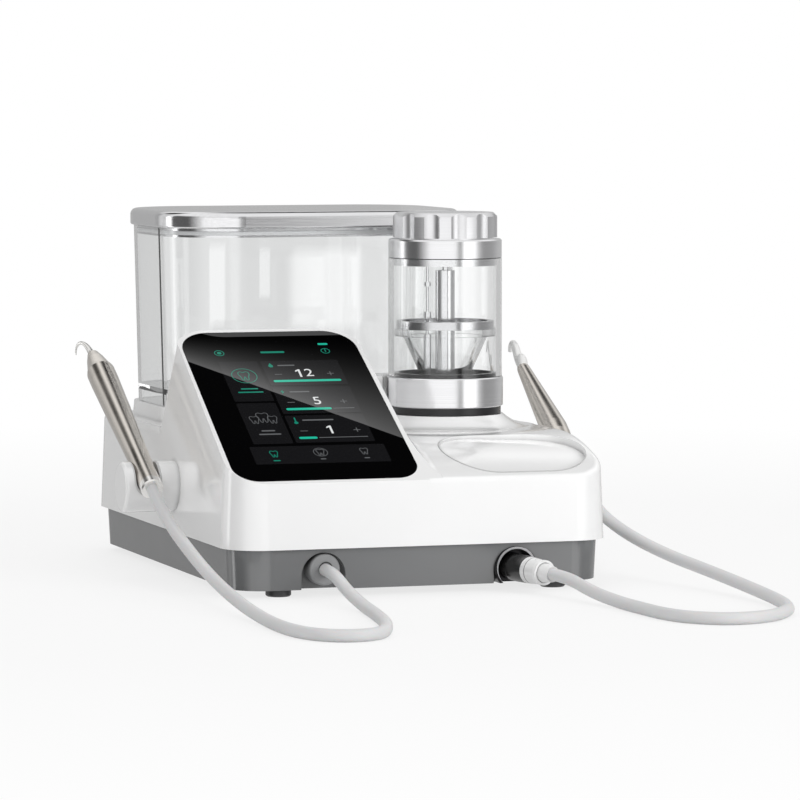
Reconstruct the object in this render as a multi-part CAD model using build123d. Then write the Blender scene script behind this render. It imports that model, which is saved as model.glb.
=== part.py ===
from build123d import *
import math
import os

os.makedirs("parts", exist_ok=True)

# Frame: millimetres, origin on the floor under the middle, front towards -Y, up is +Z.

# Lower tray and feet
FOOT_HEIGHT = 4.0
FOOT_RADIUS = 7.0
FOOT_INSET_X = 27.3
FOOT_INSET_Y = 11.9
TRAY_BOTTOM = FOOT_HEIGHT
SPLIT_Z = 26.4
TRAY_SETBACK = 3.6
TRAY_CORNER = 19.0
TRAY_DRAFT = 3.0
TRAY_WALL = 2.6
TRAY_FLOOR = 3.0
LIP_HEIGHT = 3.0
LIP_GAP = 0.3
LIP_WALL = 1.6

# Upper housing
SHELL_HALF_X = 109.9
SHELL_CORNER = 22.0
SHELL_DRAFT = 2.3
SHELL_WALL = 2.8
DECK_Z = 82.0
FRONT_EDGE_Z = 62.5
BROW_RADIUS = 160.0
EDGE_ROUND = 4.0
SHELL_REACH = 59.4

# Screen wedge, measured along the glass plane from the front wall
GLASS_ANGLE = 29.5
GLASS_START = 2.6
GLASS_END = 151.4
GLASS_LEFT_INSET = 4.4
GLASS_LEFT_LEAN = 1.7
GLASS_RIGHT_LOW = 0.0
GLASS_RIGHT_LEAN = -2.4
GLASS_ROUND_TOP = 18.0
GLASS_ROUND_LOW = 14.0
GLASS_THICK = 2.0
GLASS_GAP = 0.15
BEZEL = 2.8
WEDGE_BACK = 58.5
WEDGE_ROUND = 20.0
WINDOW_LAND = 5.0
MODULE_THICK = 7.0
MODULE_GAP = 0.5

# Powder chamber, from the housing's front edge back, and from its flared seat up
CHAMBER_X = 54.3
CHAMBER_SETBACK = 129.1
FLARE_RISE = 6.9
FLARE_TOP = DECK_Z + FLARE_RISE
FLARE_NECK = 33.2
FLARE_FOOT = 52.0
SEAL_RING_H = 4.4
SEAL_RING_R = 32.0
BASE_RING_R = 33.2
BASE_RING_H = 16.9
GLASS_CYL_R = 32.5
GLASS_CYL_WALL = 3.0
GLASS_CYL_H = 67.5
COLLAR_R = 32.4
COLLAR_H = 11.0
THREAD_R = 26.4
CAP_R = 29.8
CAP_LIFT = 0.8
CAP_H = 14.3
CAP_THREAD = 8.5
CAP_SEAL_H = 2.4
CAP_SCALLOPS = 12
SCALLOP_R = 8.0
SCALLOP_DEPTH = 1.7
TUBE_R = 5.6
PIN_R = 1.7
PICKUP_OFFSET = 10.1
PICKUP_R = 0.9
SUCTION_R = 2.2
MID_RING_R = 27.9
MID_RING_H = 4.5
FLANGE_R = 28.9
FLANGE_RISE = 23.2
FLANGE_H = 4.1
CONE_TOP_R = 24.4
CONE_LOW_R = 15.4
CONE_WALL = 2.8
DOCK_R = 24.0
SPIGOT_R = 19.9
SPIGOT_GAP = 0.1

# Water tank
TANK_X = -5.25
TANK_W = 173.5
TANK_D = 126.0
TANK_BACK_GAP = 6.5
CHAMBER_TO_TANK = 39.4
TANK_CORNER = 38.0
TANK_FLARE = 1.4
TANK_WALL = 3.2
PLATEAU_RISE = 8.6
PLATEAU_Z = DECK_Z + PLATEAU_RISE
TANK_REST = 0.3
TANK_BOTTOM = PLATEAU_Z + TANK_REST
TANK_SKIRT = 9.6
TANK_FLOOR_Z = TANK_BOTTOM + TANK_SKIRT
TANK_H = 103.1
TANK_TOP = TANK_BOTTOM + TANK_H
LID_GAP = 0.2
LID_H = 9.6
LID_BOTTOM = TANK_TOP + LID_GAP
LID_TOP = LID_BOTTOM + LID_H
LID_OVER = 2.0
LID_ROUND = 3.6
PLUG_DEPTH = 5.0
PLUG_GAP = 0.6
OUTLET_R = 6.0
OUTLET_GAP = 0.1

# Handpieces and holders
HOLDER_SETBACK = 121.5
HOLDER_Z = 52.0
HOLDER_R = 14.2
HAND_OUT = 17.1
HAND_X = SHELL_HALF_X + HAND_OUT
HOLDER_CHEEK = 12.8
HOLDER_END = HAND_X + HOLDER_CHEEK
HAND_SLOT_R = 6.9
LINER = 1.0
SCALER_ANGLE = 26.8
SCALER_OFFSET = 10.3
SCALER_LENGTH = 149.0
SCALER_MAX_R = 8.2
POLISH_ANGLE = 30.6
POLISH_OFFSET = 8.6
POLISH_LENGTH = 117.0
POLISH_MAX_R = 7.9
HOLD_POINT = 20.0
SLOT_LENGTH = 90.0
SLOT_DEEP = 40.0

# Cords
CORD_R = 3.4
CORD_REST = 3.45
PORT_LEFT_X = -56.7
PORT_RIGHT_X = 53.4
PORT_Z = 12.7
ARCH_R = 12.45
ARCH_DEPTH = 8.4
PORT_DEPTH = 13.9

# Rear panel
PANEL_Z = (32.8, 69.2)
PANEL_HALF_X = 76.7
PANEL_SUNK = 3.5
PANEL_THICK = 2.5
PANEL_GAP = 0.3

# Places that follow: the housing is as deep as the chamber and the tank behind it need
SHELL_HALF_Y = (CHAMBER_SETBACK + CHAMBER_TO_TANK + TANK_D + TANK_BACK_GAP) / 2
CHAMBER_Y = -SHELL_HALF_Y + CHAMBER_SETBACK
TANK_Y = SHELL_HALF_Y - TANK_BACK_GAP - TANK_D / 2
HOLDER_Y = -SHELL_HALF_Y + HOLDER_SETBACK
PANEL_FACE = SHELL_HALF_Y - PANEL_SUNK
PANEL_INSIDE = PANEL_FACE - PANEL_THICK
TRAY_HALF_X = SHELL_HALF_X - TRAY_SETBACK
TRAY_HALF_Y = SHELL_HALF_Y - TRAY_SETBACK
TRAY_INSIDE = TRAY_BOTTOM + TRAY_FLOOR
FOOT_X = TRAY_HALF_X - FOOT_INSET_X
FOOT_Y = TRAY_HALF_Y - FOOT_INSET_Y
GLASS_LEFT_LOW = -SHELL_HALF_X + GLASS_LEFT_INSET
SEAL_TOP = FLARE_TOP + SEAL_RING_H
BASE_RING_TOP = SEAL_TOP + BASE_RING_H
GLASS_CYL_TOP = BASE_RING_TOP + GLASS_CYL_H
COLLAR_TOP = GLASS_CYL_TOP + COLLAR_H
CAP_BOTTOM = COLLAR_TOP + CAP_LIFT
CAP_TOP = CAP_BOTTOM + CAP_H
FLANGE_Z = (BASE_RING_TOP + FLANGE_RISE, BASE_RING_TOP + FLANGE_RISE + FLANGE_H)
MID_RING_Z = (FLANGE_Z[1], FLANGE_Z[1] + MID_RING_H)

# Reach of a cut that runs out of its piece
FAR = 400.0

SIN_G = math.sin(math.radians(GLASS_ANGLE))
COS_G = math.cos(math.radians(GLASS_ANGLE))
TAN_S = math.tan(math.radians(SHELL_DRAFT))


def cyl(r, z0, z1, x=0.0, y=0.0):
    return Pos(x, y, (z0 + z1) / 2) * Cylinder(r, z1 - z0)


def xrod(r, x0, x1, y, z):
    return Pos((x0 + x1) / 2, y, z) * Rot(0, 90, 0) * Cylinder(r, abs(x1 - x0))


def yrod(r, y0, y1, x, z):
    return Pos(x, (y0 + y1) / 2, z) * Rot(90, 0, 0) * Cylinder(r, abs(y1 - y0))


def slab(x0, x1, y0, y1, z0, z1):
    return Pos((x0 + x1) / 2, (y0 + y1) / 2, (z0 + z1) / 2) * Box(x1 - x0, y1 - y0, z1 - z0)


def prism(x, y, w, d, r, z0, z1, taper=0.0):
    face = Plane.XY.offset(z0) * Pos(x, y) * RectangleRounded(w, d, r)
    return extrude(face, z1 - z0, taper=taper)


def turned(points, x, y):
    outline = Plane.XZ * make_face(Polyline(*points, close=True))
    return Pos(x, y, 0) * revolve(outline, Axis.Z)


def save(shape, name):
    export_step(shape, "parts/" + name + ".step")


# Outer form of the upper housing, also used smaller for the hollow inside
def envelope(inset):
    low = SPLIT_Z if inset == 0 else SPLIT_Z - 2.0
    grow = 0.0 if inset == 0 else 2.0 * TAN_S
    high = PLATEAU_Z + SHELL_REACH
    half_x = SHELL_HALF_X - inset + grow
    half_y = SHELL_HALF_Y - inset + grow
    return prism(0, 0, 2 * half_x, 2 * half_y, max(SHELL_CORNER - inset, 2.0), low, high, SHELL_DRAFT)


FRONT_WALL_Y = -(SHELL_HALF_Y - (FRONT_EDGE_Z - SPLIT_Z) * TAN_S)
BROW_DROP = DECK_Z - FRONT_EDGE_Z
BROW_RUN = math.sqrt(2 * BROW_RADIUS * BROW_DROP - BROW_DROP ** 2)
BROW_START = FRONT_WALL_Y + BROW_RUN
BROW_SLOPE = BROW_RUN / (BROW_RADIUS - BROW_DROP)


def deck_block(drop):
    y0 = FRONT_WALL_Y
    mid = math.asin(BROW_RUN / BROW_RADIUS) / 2
    mid_y = BROW_START - BROW_RADIUS * math.sin(mid)
    mid_z = DECK_Z - BROW_RADIUS * (1 - math.cos(mid))
    out_y = SHELL_HALF_Y + 24.5
    under = SPLIT_Z - 6.4
    path = [
        Line((-out_y, under), (-out_y, FRONT_EDGE_Z - drop - BROW_SLOPE * (out_y + y0))),
        Line((-out_y, FRONT_EDGE_Z - drop - BROW_SLOPE * (out_y + y0)), (y0, FRONT_EDGE_Z - drop)),
        ThreePointArc((y0, FRONT_EDGE_Z - drop), (mid_y, mid_z - drop), (BROW_START, DECK_Z - drop)),
        Line((BROW_START, DECK_Z - drop), (out_y, DECK_Z - drop)),
        Line((out_y, DECK_Z - drop), (out_y, under)),
        Line((out_y, under), (-out_y, under)),
    ]
    return extrude(Plane.YZ * make_face(Curve() + path), SHELL_HALF_X + 20.1, both=True)


def glass_plane(depth=0.0, back=0.0):
    run = math.radians(WEDGE_BACK)
    y = FRONT_WALL_Y + back * math.cos(run) + depth * SIN_G
    z = FRONT_EDGE_Z - 0.2 - back * math.sin(run) - depth * COS_G
    return Plane(origin=(0, y, z), x_dir=(1, 0, 0), z_dir=(0, -SIN_G, COS_G))


def glass_outline(grow, top_round, low_round, wider=0.0, start=None):
    low = GLASS_START - grow if start is None else start
    high = GLASS_END + grow
    lean_l = GLASS_LEFT_LEAN / (GLASS_END - GLASS_START)
    lean_r = GLASS_RIGHT_LEAN / (GLASS_END - GLASS_START)
    ll = GLASS_LEFT_LOW - grow - wider * 0.35 + lean_l * (low - GLASS_START)
    lh = GLASS_LEFT_LOW - grow - wider * 0.35 + lean_l * (high - GLASS_START)
    rl = GLASS_RIGHT_LOW + grow + wider + lean_r * (low - GLASS_START)
    rh = GLASS_RIGHT_LOW + grow + wider + lean_r * (high - GLASS_START)
    face = make_face(Polyline((ll, low), (rl, low), (rh, high), (lh, high), close=True))
    rows = face.vertices().group_by(Axis.Y)
    face = fillet(rows[-1], top_round)
    if low_round > 0:
        face = fillet(face.vertices().group_by(Axis.Y)[0], low_round)
    return face


WEDGE_LENGTH = 110.0
WEDGE_SPREAD = 8.0
WEDGE_BELOW = -14.0


# Screen wedge as a leaning block behind the glass
def wedge(inset):
    rounding = WEDGE_ROUND - inset
    first = glass_plane(inset) * glass_outline(BEZEL - inset, rounding, 0, 0.0, WEDGE_BELOW)
    last = glass_plane(inset, WEDGE_LENGTH) * glass_outline(
        BEZEL - inset, rounding, 0, WEDGE_SPREAD, WEDGE_BELOW)
    return loft([first, last], ruled=True) & envelope(inset)


block = envelope(0) & deck_block(0)
rim = [e for e in block.edges() if e.center().Z > FRONT_EDGE_Z - 1 and not (
    abs(e.center().Y - BROW_START) < 0.5 and abs(e.center().X) < 1)]
rim = [e for e in rim if abs((e @ 0).Z - (e @ 1).Z) < 30]
block = fillet(rim, EDGE_ROUND)
above = extrude(glass_plane() * glass_outline(BEZEL, 1.0, 0, WEDGE_SPREAD, WEDGE_BELOW), 60)
block = block - above
outer = block + wedge(0)
# Concave blend where the wedge's back meets the deck
BLEND = 8.0
WEDGE_TOP = GLASS_END + BEZEL
WEDGE_FALL = FRONT_EDGE_Z + WEDGE_TOP * SIN_G - DECK_Z
SEAM_Y = FRONT_WALL_Y + WEDGE_TOP * COS_G + WEDGE_FALL / math.tan(math.radians(WEDGE_BACK))
seam = [e for e in outer.edges() if -SHELL_HALF_X < e.center().X <= GLASS_RIGHT_LOW
        and abs(e.center().Y - SEAM_Y) < 20 and abs(e.center().Z - DECK_Z) < 0.2
        and 5 < e.length < SHELL_HALF_X - 9.9]
outer = fillet(seam, BLEND)
# Flared seat under the powder chamber
FLARE_ROOT = DECK_Z - 12
FLARE_MIDDLE = (FLARE_NECK + 7.0, DECK_Z + 2.2)
flare_line = [
    Line((0, FLARE_ROOT), (FLARE_FOOT, FLARE_ROOT)),
    Line((FLARE_FOOT, FLARE_ROOT), (FLARE_FOOT, DECK_Z - 0.1)),
    ThreePointArc((FLARE_FOOT, DECK_Z - 0.1), FLARE_MIDDLE, (FLARE_NECK, FLARE_TOP)),
    Line((FLARE_NECK, FLARE_TOP), (0, FLARE_TOP)),
    Line((0, FLARE_TOP), (0, FLARE_ROOT)),
]
flare = Pos(CHAMBER_X, CHAMBER_Y, 0) * revolve(Plane.XZ * make_face(Curve() + flare_line), Axis.Z)
flare = flare & envelope(0)

# Raised floor under the tank and the saddle between screen and chamber
plateau = prism(TANK_X, TANK_Y, TANK_W + 8, TANK_D + 6, TANK_CORNER + 3, DECK_Z - 4, PLATEAU_Z, 6.0)
plateau = plateau & envelope(0)
SADDLE_X = CHAMBER_X - 44.3
SADDLE_Y = CHAMBER_Y + 22.4
SADDLE_SIZE = (56.0, 30.0)
SADDLE_GAP = 2.5
saddle = prism(SADDLE_X, SADDLE_Y, *SADDLE_SIZE, 9.0, DECK_Z - 4, BASE_RING_TOP, 4.0)
saddle = saddle - cyl(BASE_RING_R + SADDLE_GAP, 0, FAR, CHAMBER_X, CHAMBER_Y)
saddle = fillet(saddle.faces().sort_by(Axis.Z)[-1].edges(), 1.5)
outer = outer + plateau + saddle + flare

# Bare oval panel sunk in the sloping brow
PANEL_CENTRE = (SHELL_HALF_X - 48.2, -SHELL_HALF_Y + 33.1)
PANEL_SIZE = (83.0, 54.0)
PANEL_TILT = 2.1
PANEL_SINK = 1.0
tilt_axis = Axis((PANEL_CENTRE[0] - 41.7, 0, DECK_Z - 7), (0, 1, 0))
panel_slot = extrude(Plane.XY.offset(DECK_Z - 32) * Pos(*PANEL_CENTRE) * SlotOverall(*PANEL_SIZE), 60)
sunk_floor = deck_block(PANEL_SINK).rotate(tilt_axis, PANEL_TILT)
outer = outer - (panel_slot - sunk_floor)

# Hollow inside of the housing
room = envelope(SHELL_WALL)
brow_room = room & deck_block(SHELL_WALL)
ROOM_LOW = DECK_Z - 22
tank_room = prism(TANK_X, TANK_Y, TANK_W + 2, TANK_D, TANK_CORNER, ROOM_LOW, PLATEAU_Z - SHELL_WALL) & room
saddle_room = prism(SADDLE_X, SADDLE_Y, SADDLE_SIZE[0] - 6, SADDLE_SIZE[1] - 6, 6.0, ROOM_LOW,
                    BASE_RING_TOP - SHELL_WALL)
saddle_room = saddle_room - cyl(BASE_RING_R + SADDLE_GAP + SHELL_WALL, 0, FAR, CHAMBER_X, CHAMBER_Y)
cavity = brow_room + wedge(SHELL_WALL) + tank_room + saddle_room
slot_wall = extrude(Plane.XY.offset(DECK_Z - 42) * Pos(*PANEL_CENTRE) * SlotOverall(
    PANEL_SIZE[0] + 2 * SHELL_WALL, PANEL_SIZE[1] + 2 * SHELL_WALL), 60)
under_panel = slot_wall & deck_block(PANEL_SINK + SHELL_WALL).rotate(tilt_axis, PANEL_TILT) & brow_room
cavity = (cavity - slot_wall) + under_panel

# Bosses inside: dock for the chamber, socket seat for the tank, screw posts, rear frame
POST_X = TRAY_HALF_X - 14.3
POST_FRONT = -TRAY_HALF_Y + 28.9
POST_BACK = TRAY_HALF_Y - 21.9
POSTS = [(-POST_X, POST_FRONT), (POST_X, POST_FRONT), (-POST_X, POST_BACK), (POST_X, POST_BACK)]
POST_R = 4.5
POST_PLANE = SPLIT_Z + 1.6
SCREW_END = SPLIT_Z + 13.6
SCREW_R = 1.45
THREAD_HOLE_R = 1.5
DOCK_FLOOR = FLARE_TOP - 14.9
SOCKET_R = 11.0
SOCKET_FLOOR = PLATEAU_Z - 14.6
cavity = cavity - cyl(DOCK_R + 3, DOCK_FLOOR - 4, FAR, CHAMBER_X, CHAMBER_Y)
cavity = cavity - cyl(SOCKET_R + 3, SOCKET_FLOOR - 4, FAR, TANK_X, TANK_Y)
for px, py in POSTS:
    cavity = cavity - cyl(POST_R, POST_PLANE, FAR, px, py)
RIB_START = SPLIT_Z + LIP_HEIGHT + 0.6
RIB_TOP = FRONT_EDGE_Z - 4.5
FRAME_BORDER = 3.8
FRAME_DEPTH = 5.5
cavity = cavity - slab(-FAR, -POST_X, POST_FRONT - 1.5, POST_FRONT + 1.5, RIB_START, RIB_TOP)
cavity = cavity - slab(-PANEL_HALF_X - FRAME_BORDER, PANEL_HALF_X + FRAME_BORDER,
                       PANEL_FACE - FRAME_DEPTH, FAR, RIB_START, PANEL_Z[1] + FRAME_BORDER)
housing = outer - cavity
FLANGE_TOP = SPLIT_Z + 2.5
FLANGE_REACH = 6.7
MOUTH_X = SHELL_HALF_X - FLANGE_REACH
MOUTH_Y = SHELL_HALF_Y - FLANGE_REACH
MOUTH_CORNER = 16.0
flange = envelope(0) & slab(-FAR, FAR, -FAR, FAR, SPLIT_Z, FLANGE_TOP)
flange = flange - prism(0, 0, 2 * MOUTH_X, 2 * MOUTH_Y, MOUTH_CORNER, SPLIT_Z - 6, SPLIT_Z + 14)
housing = housing + flange
for px, py in POSTS:
    housing = housing - cyl(THREAD_HOLE_R, POST_PLANE - 3, SCREW_END + 2, px, py)
    housing = housing - cyl(POST_R + 0.4, SPLIT_Z - 6, POST_PLANE, px, py)

# Cut-outs in the housing
WINDOW_DEPTH = 14.0
housing = housing - extrude(glass_plane(GLASS_THICK) * glass_outline(
    GLASS_GAP, GLASS_ROUND_TOP + GLASS_GAP, GLASS_ROUND_LOW + GLASS_GAP), 8)
housing = housing - extrude(glass_plane(WINDOW_DEPTH) * glass_outline(
    -WINDOW_LAND, GLASS_ROUND_TOP - WINDOW_LAND, GLASS_ROUND_LOW - WINDOW_LAND), 20)
DOCK_PIPE_R = 5.0
SOCKET_PIPE_R = 4.0
housing = housing - cyl(DOCK_R, DOCK_FLOOR, FAR, CHAMBER_X, CHAMBER_Y)
housing = housing - cyl(DOCK_PIPE_R, DOCK_FLOOR - 14, FAR, CHAMBER_X, CHAMBER_Y)
housing = housing - cyl(SOCKET_R, SOCKET_FLOOR, FAR, TANK_X, TANK_Y)
housing = housing - cyl(SOCKET_PIPE_R, SOCKET_FLOOR - 16, FAR, TANK_X, TANK_Y)
HOLDER_STEM_R = 5.0
for side in (-1, 1):
    housing = housing - xrod(HOLDER_STEM_R + 0.1, side * (SHELL_HALF_X - 11.9), side * (SHELL_HALF_X + 8.1),
                             HOLDER_Y, HOLDER_Z)
pocket_x = PANEL_HALF_X + PANEL_GAP
housing = housing - slab(-pocket_x, pocket_x, PANEL_INSIDE, FAR,
                         PANEL_Z[0] - PANEL_GAP, PANEL_Z[1] + PANEL_GAP)
housing = housing - slab(-pocket_x + 7, pocket_x - 7, PANEL_FACE - 27, FAR,
                         PANEL_Z[0] + 2.4, PANEL_Z[1] - 2.4)
PANEL_SCREW_X = PANEL_HALF_X - 3.5
PANEL_SCREWS = [(side * PANEL_SCREW_X, z) for z in (PANEL_Z[0] + 3.7, PANEL_Z[1] - 3.7) for side in (-1, 1)]
for px, pz in PANEL_SCREWS:
    housing = housing - yrod(THREAD_HOLE_R, PANEL_FACE - 6, PANEL_FACE + 3, px, pz)
print("housing volume", round(housing.volume), "solids", len(housing.solids()))
save(housing, "upper_housing")

# Lower tray
shrink = (SPLIT_Z - TRAY_BOTTOM) * math.tan(math.radians(TRAY_DRAFT))
tray_out = prism(0, 0, 2 * (TRAY_HALF_X - shrink), 2 * (TRAY_HALF_Y - shrink), TRAY_CORNER,
                 TRAY_BOTTOM, SPLIT_Z, -TRAY_DRAFT)
inner_x = TRAY_HALF_X - TRAY_WALL - shrink
inner_y = TRAY_HALF_Y - TRAY_WALL - shrink
ledge_x = MOUTH_X - LIP_GAP - LIP_WALL
ledge_y = MOUTH_Y - LIP_GAP - LIP_WALL
ledge_corner = MOUTH_CORNER - 2.0
tray_in = prism(0, 0, 2 * inner_x, 2 * inner_y, TRAY_CORNER - TRAY_WALL, TRAY_INSIDE, SPLIT_Z - 4.4)
tray_in = tray_in + prism(0, 0, 2 * ledge_x, 2 * ledge_y, ledge_corner, SPLIT_Z - 6.4, SPLIT_Z + 13.6)
tray = tray_out - tray_in
lip = prism(0, 0, 2 * (MOUTH_X - LIP_GAP), 2 * (MOUTH_Y - LIP_GAP), MOUTH_CORNER - LIP_GAP, SPLIT_Z - 1,
            SPLIT_Z + LIP_HEIGHT)
tray = tray + (lip - prism(0, 0, 2 * ledge_x, 2 * ledge_y, ledge_corner, SPLIT_Z - 6.4, SPLIT_Z + 13.6))
for px, py in POSTS:
    tray = tray + cyl(POST_R, TRAY_BOTTOM, POST_PLANE - 0.2, px, py)
BOARD_X = -TRAY_HALF_X + 10.3
BOARD_Y = -TRAY_HALF_Y + 20.9
BOARD_W = 120.0
BOARD_D = 86.0
BOARD_Z = TRAY_BOTTOM + 10.0
BOARD_THICK = 1.6
BOARD_HOLES = [(BOARD_X + 5, BOARD_Y + 30), (BOARD_X + BOARD_W - 5, BOARD_Y + 5),
               (BOARD_X + 5, BOARD_Y + BOARD_D - 5), (BOARD_X + BOARD_W - 5, BOARD_Y + BOARD_D - 5)]
for px, py in BOARD_HOLES:
    tray = tray + cyl(3.2, TRAY_BOTTOM, BOARD_Z, px, py)
ARCH_Z = TRAY_BOTTOM + 7.7
ARCH_BACK = -TRAY_HALF_Y + ARCH_DEPTH
PORT_BACK = -TRAY_HALF_Y + PORT_DEPTH
GLAND_Z = TRAY_BOTTOM + 10.9
GLAND_NECK_R = 5.0
SOCKET_NECK_R = 8.0
PORT_FIT = 0.1
for px in (PORT_LEFT_X, PORT_RIGHT_X):
    port_block = slab(px - ARCH_R - 3.55, px + ARCH_R + 3.55, -FAR, PORT_BACK, TRAY_BOTTOM, SPLIT_Z - 0.01)
    tray = tray + (port_block & tray_out)
    tray = tray - yrod(ARCH_R, -FAR, ARCH_BACK, px, ARCH_Z)
    tray = tray - slab(px - ARCH_R, px + ARCH_R, -FAR, ARCH_BACK, 0, ARCH_Z)
tray = tray - yrod(GLAND_NECK_R + PORT_FIT, -FAR, PORT_BACK + 3, PORT_LEFT_X, GLAND_Z)
tray = tray - yrod(SOCKET_NECK_R + PORT_FIT, -FAR, PORT_BACK + 3, PORT_RIGHT_X, PORT_Z)
SCREW_HOLE_R = 1.7
for px, py in POSTS:
    tray = tray - cyl(SCREW_HOLE_R, 0, FAR, px, py) - cyl(3.1, 0, TRAY_INSIDE, px, py)
for px, py in BOARD_HOLES:
    tray = tray - cyl(THREAD_HOLE_R, TRAY_BOTTOM + 1.5, BOARD_Z + 1, px, py)
VENT_COUNT = 8
VENT_PITCH = 8.0
VENT_WIDTH = 3.0
VENT_LENGTH = 45.0
VENT_INSET_X = 72.3
VENT_INSET_Y = 61.9
VENT_X = TRAY_HALF_X - VENT_INSET_X
VENT_Y = -TRAY_HALF_Y + VENT_INSET_Y
for i in range(VENT_COUNT):
    vx = VENT_X + VENT_PITCH * i
    tray = tray - slab(vx - VENT_WIDTH / 2, vx + VENT_WIDTH / 2, VENT_Y, VENT_Y + VENT_LENGTH,
                       0, TRAY_INSIDE + 1)
print("tray volume", round(tray.volume), "solids", len(tray.solids()))
save(tray, "base_tray")

feet = Part()
for fx in (-FOOT_X, FOOT_X):
    for fy in (-FOOT_Y, FOOT_Y):
        foot = cyl(FOOT_RADIUS, 0, FOOT_HEIGHT, fx, fy)
        feet = feet + chamfer(foot.edges().sort_by(Axis.Z)[0], 0.8)
save(feet, "feet")

screws = Part()
for px, py in POSTS:
    head_z = TRAY_BOTTOM + 0.5
    screw = cyl(2.8, head_z, TRAY_INSIDE, px, py) + cyl(SCREW_R, TRAY_INSIDE - 0.5, SCREW_END, px, py)
    screws = screws + (screw - prism(px, py, 2.4, 2.4, 0.3, 0, head_z + 1.4))
save(screws, "case_screws")

# Screen
screen_glass = extrude(glass_plane(GLASS_THICK) * glass_outline(0, GLASS_ROUND_TOP, GLASS_ROUND_LOW),
                       GLASS_THICK)
save(screen_glass, "screen_glass")
land = -WINDOW_LAND - MODULE_GAP
module = extrude(glass_plane(GLASS_THICK + MODULE_THICK) * glass_outline(
    land, GLASS_ROUND_TOP + land, GLASS_ROUND_LOW + land), MODULE_THICK)
module = module + extrude(glass_plane(GLASS_THICK + MODULE_THICK + 4) * glass_outline(-22, 2, 2), 5)
save(module, "display_module")

# Electronics and fluid units inside
BOARD_TOP = BOARD_Z + BOARD_THICK
board = slab(BOARD_X, BOARD_X + BOARD_W, BOARD_Y, BOARD_Y + BOARD_D, BOARD_Z, BOARD_TOP)
board = board - cyl(POST_R + 0.7, 0, FAR, -POST_X, POST_FRONT)
for px, py in BOARD_HOLES:
    board = board - cyl(SCREW_HOLE_R, 0, FAR, px, py)
# Blocks on the board: place from its corner, width, depth and height
CHIPS = [(36, 26, 16, 16, 2.4), (76, 36, 22, 14, 9), (26, 64, 30, 9, 11), (96, 66, 14, 14, 5),
         (61, 66, 10, 10, 3), (76, 10, 30, 8, 10), (104, 28, 12, 20, 13)]
for dx, dy, bw, bd, bh in CHIPS:
    bx = BOARD_X + dx
    by = BOARD_Y + dy
    board = board + slab(bx - bw / 2, bx + bw / 2, by - bd / 2, by + bd / 2, BOARD_TOP, BOARD_TOP + bh)
save(board, "main_board")
board_screws = Part()
for px, py in BOARD_HOLES:
    board_screws = board_screws + cyl(2.7, BOARD_TOP, BOARD_TOP + 1.8, px, py) + cyl(
        SCREW_R, BOARD_Z - 7, BOARD_TOP + 0.1, px, py)
save(board_screws, "board_screws")

UNIT_SETBACK = 127.0
UNIT_FRONT = PANEL_FACE - UNIT_SETBACK
PSU_X = -TRAY_HALF_X + 14.3
PSU_W = 84.0
PSU_D = 88.0
PSU_H = 38.0
psu_top = TRAY_INSIDE + PSU_H
psu = slab(PSU_X, PSU_X + PSU_W, UNIT_FRONT, UNIT_FRONT + PSU_D, TRAY_INSIDE, psu_top)
for i in range(9):
    sy = UNIT_FRONT + 10 + 8.0 * i
    psu = psu - slab(PSU_X + 10, PSU_X + PSU_W - 10, sy, sy + 3, psu_top - 2, psu_top + 1)
save(psu, "power_supply")

PUMP_X = 34.0
PUMP_Y = PANEL_FACE - 49.0
PUMP_R = 25.0
PUMP_H = 27.0
PUMP_WALL = 4.0
PUMP_FLOOR_Z = TRAY_INSIDE + 5.0
ROTOR_PIN_R = 2.0
ROTOR_Z = PUMP_FLOOR_Z + 0.3
pump = cyl(PUMP_R, TRAY_INSIDE, TRAY_INSIDE + PUMP_H, PUMP_X, PUMP_Y)
pump = pump - cyl(PUMP_R - PUMP_WALL, PUMP_FLOOR_Z, FAR, PUMP_X, PUMP_Y)
pump = pump + cyl(ROTOR_PIN_R, PUMP_FLOOR_Z, PUMP_FLOOR_Z + 19, PUMP_X, PUMP_Y)
pump = pump + slab(PUMP_X - PUMP_R - 7, PUMP_X + PUMP_R + 7, PUMP_Y - 9, PUMP_Y + 9,
                   TRAY_INSIDE, TRAY_INSIDE + 3)
save(pump, "pump_body")
rotor = cyl(9.0, ROTOR_Z, ROTOR_Z + 3.7, PUMP_X, PUMP_Y) + cyl(5.0, ROTOR_Z, ROTOR_Z + 17.7, PUMP_X, PUMP_Y)
for i in range(3):
    turn = math.radians(120 * i + 30)
    rx = PUMP_X + 12.5 * math.cos(turn)
    ry = PUMP_Y + 12.5 * math.sin(turn)
    arm = Pos(PUMP_X, PUMP_Y, ROTOR_Z + 1.85) * Rot(0, 0, 120 * i + 30) * Pos(7, 0, 0) * Box(14, 7, 3.7)
    rotor = rotor + arm + cyl(4.5, ROTOR_Z, ROTOR_Z + 16.7, rx, ry)
rotor = rotor - cyl(ROTOR_PIN_R + 0.06, 0, FAR, PUMP_X, PUMP_Y)
save(rotor, "pump_rotor")

HEATER_X = TRAY_HALF_X - 24.3
HEATER_W = 32.0
HEATER_D = 56.0
HEATER_H = 24.0
heater = slab(HEATER_X - HEATER_W / 2, HEATER_X + HEATER_W / 2, UNIT_FRONT, UNIT_FRONT + HEATER_D,
              TRAY_INSIDE, TRAY_INSIDE + HEATER_H)
heater = heater + yrod(3, UNIT_FRONT - 8, UNIT_FRONT + HEATER_D + 8, HEATER_X, TRAY_INSIDE + 15)
save(heater, "water_heater")
VALVE_X = CHAMBER_X + 8.7
VALVE_Y = CHAMBER_Y + 7.4
VALVE_H = 22.0
valve_top = TRAY_INSIDE + VALVE_H
valve = slab(VALVE_X - 29, VALVE_X + 29, VALVE_Y - 16, VALVE_Y + 16, TRAY_INSIDE, valve_top)
for dx in (-17, 0, 17):
    valve = valve + cyl(7.5, valve_top, valve_top + 23, VALVE_X + dx, VALVE_Y)
save(valve, "air_valve")

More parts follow.
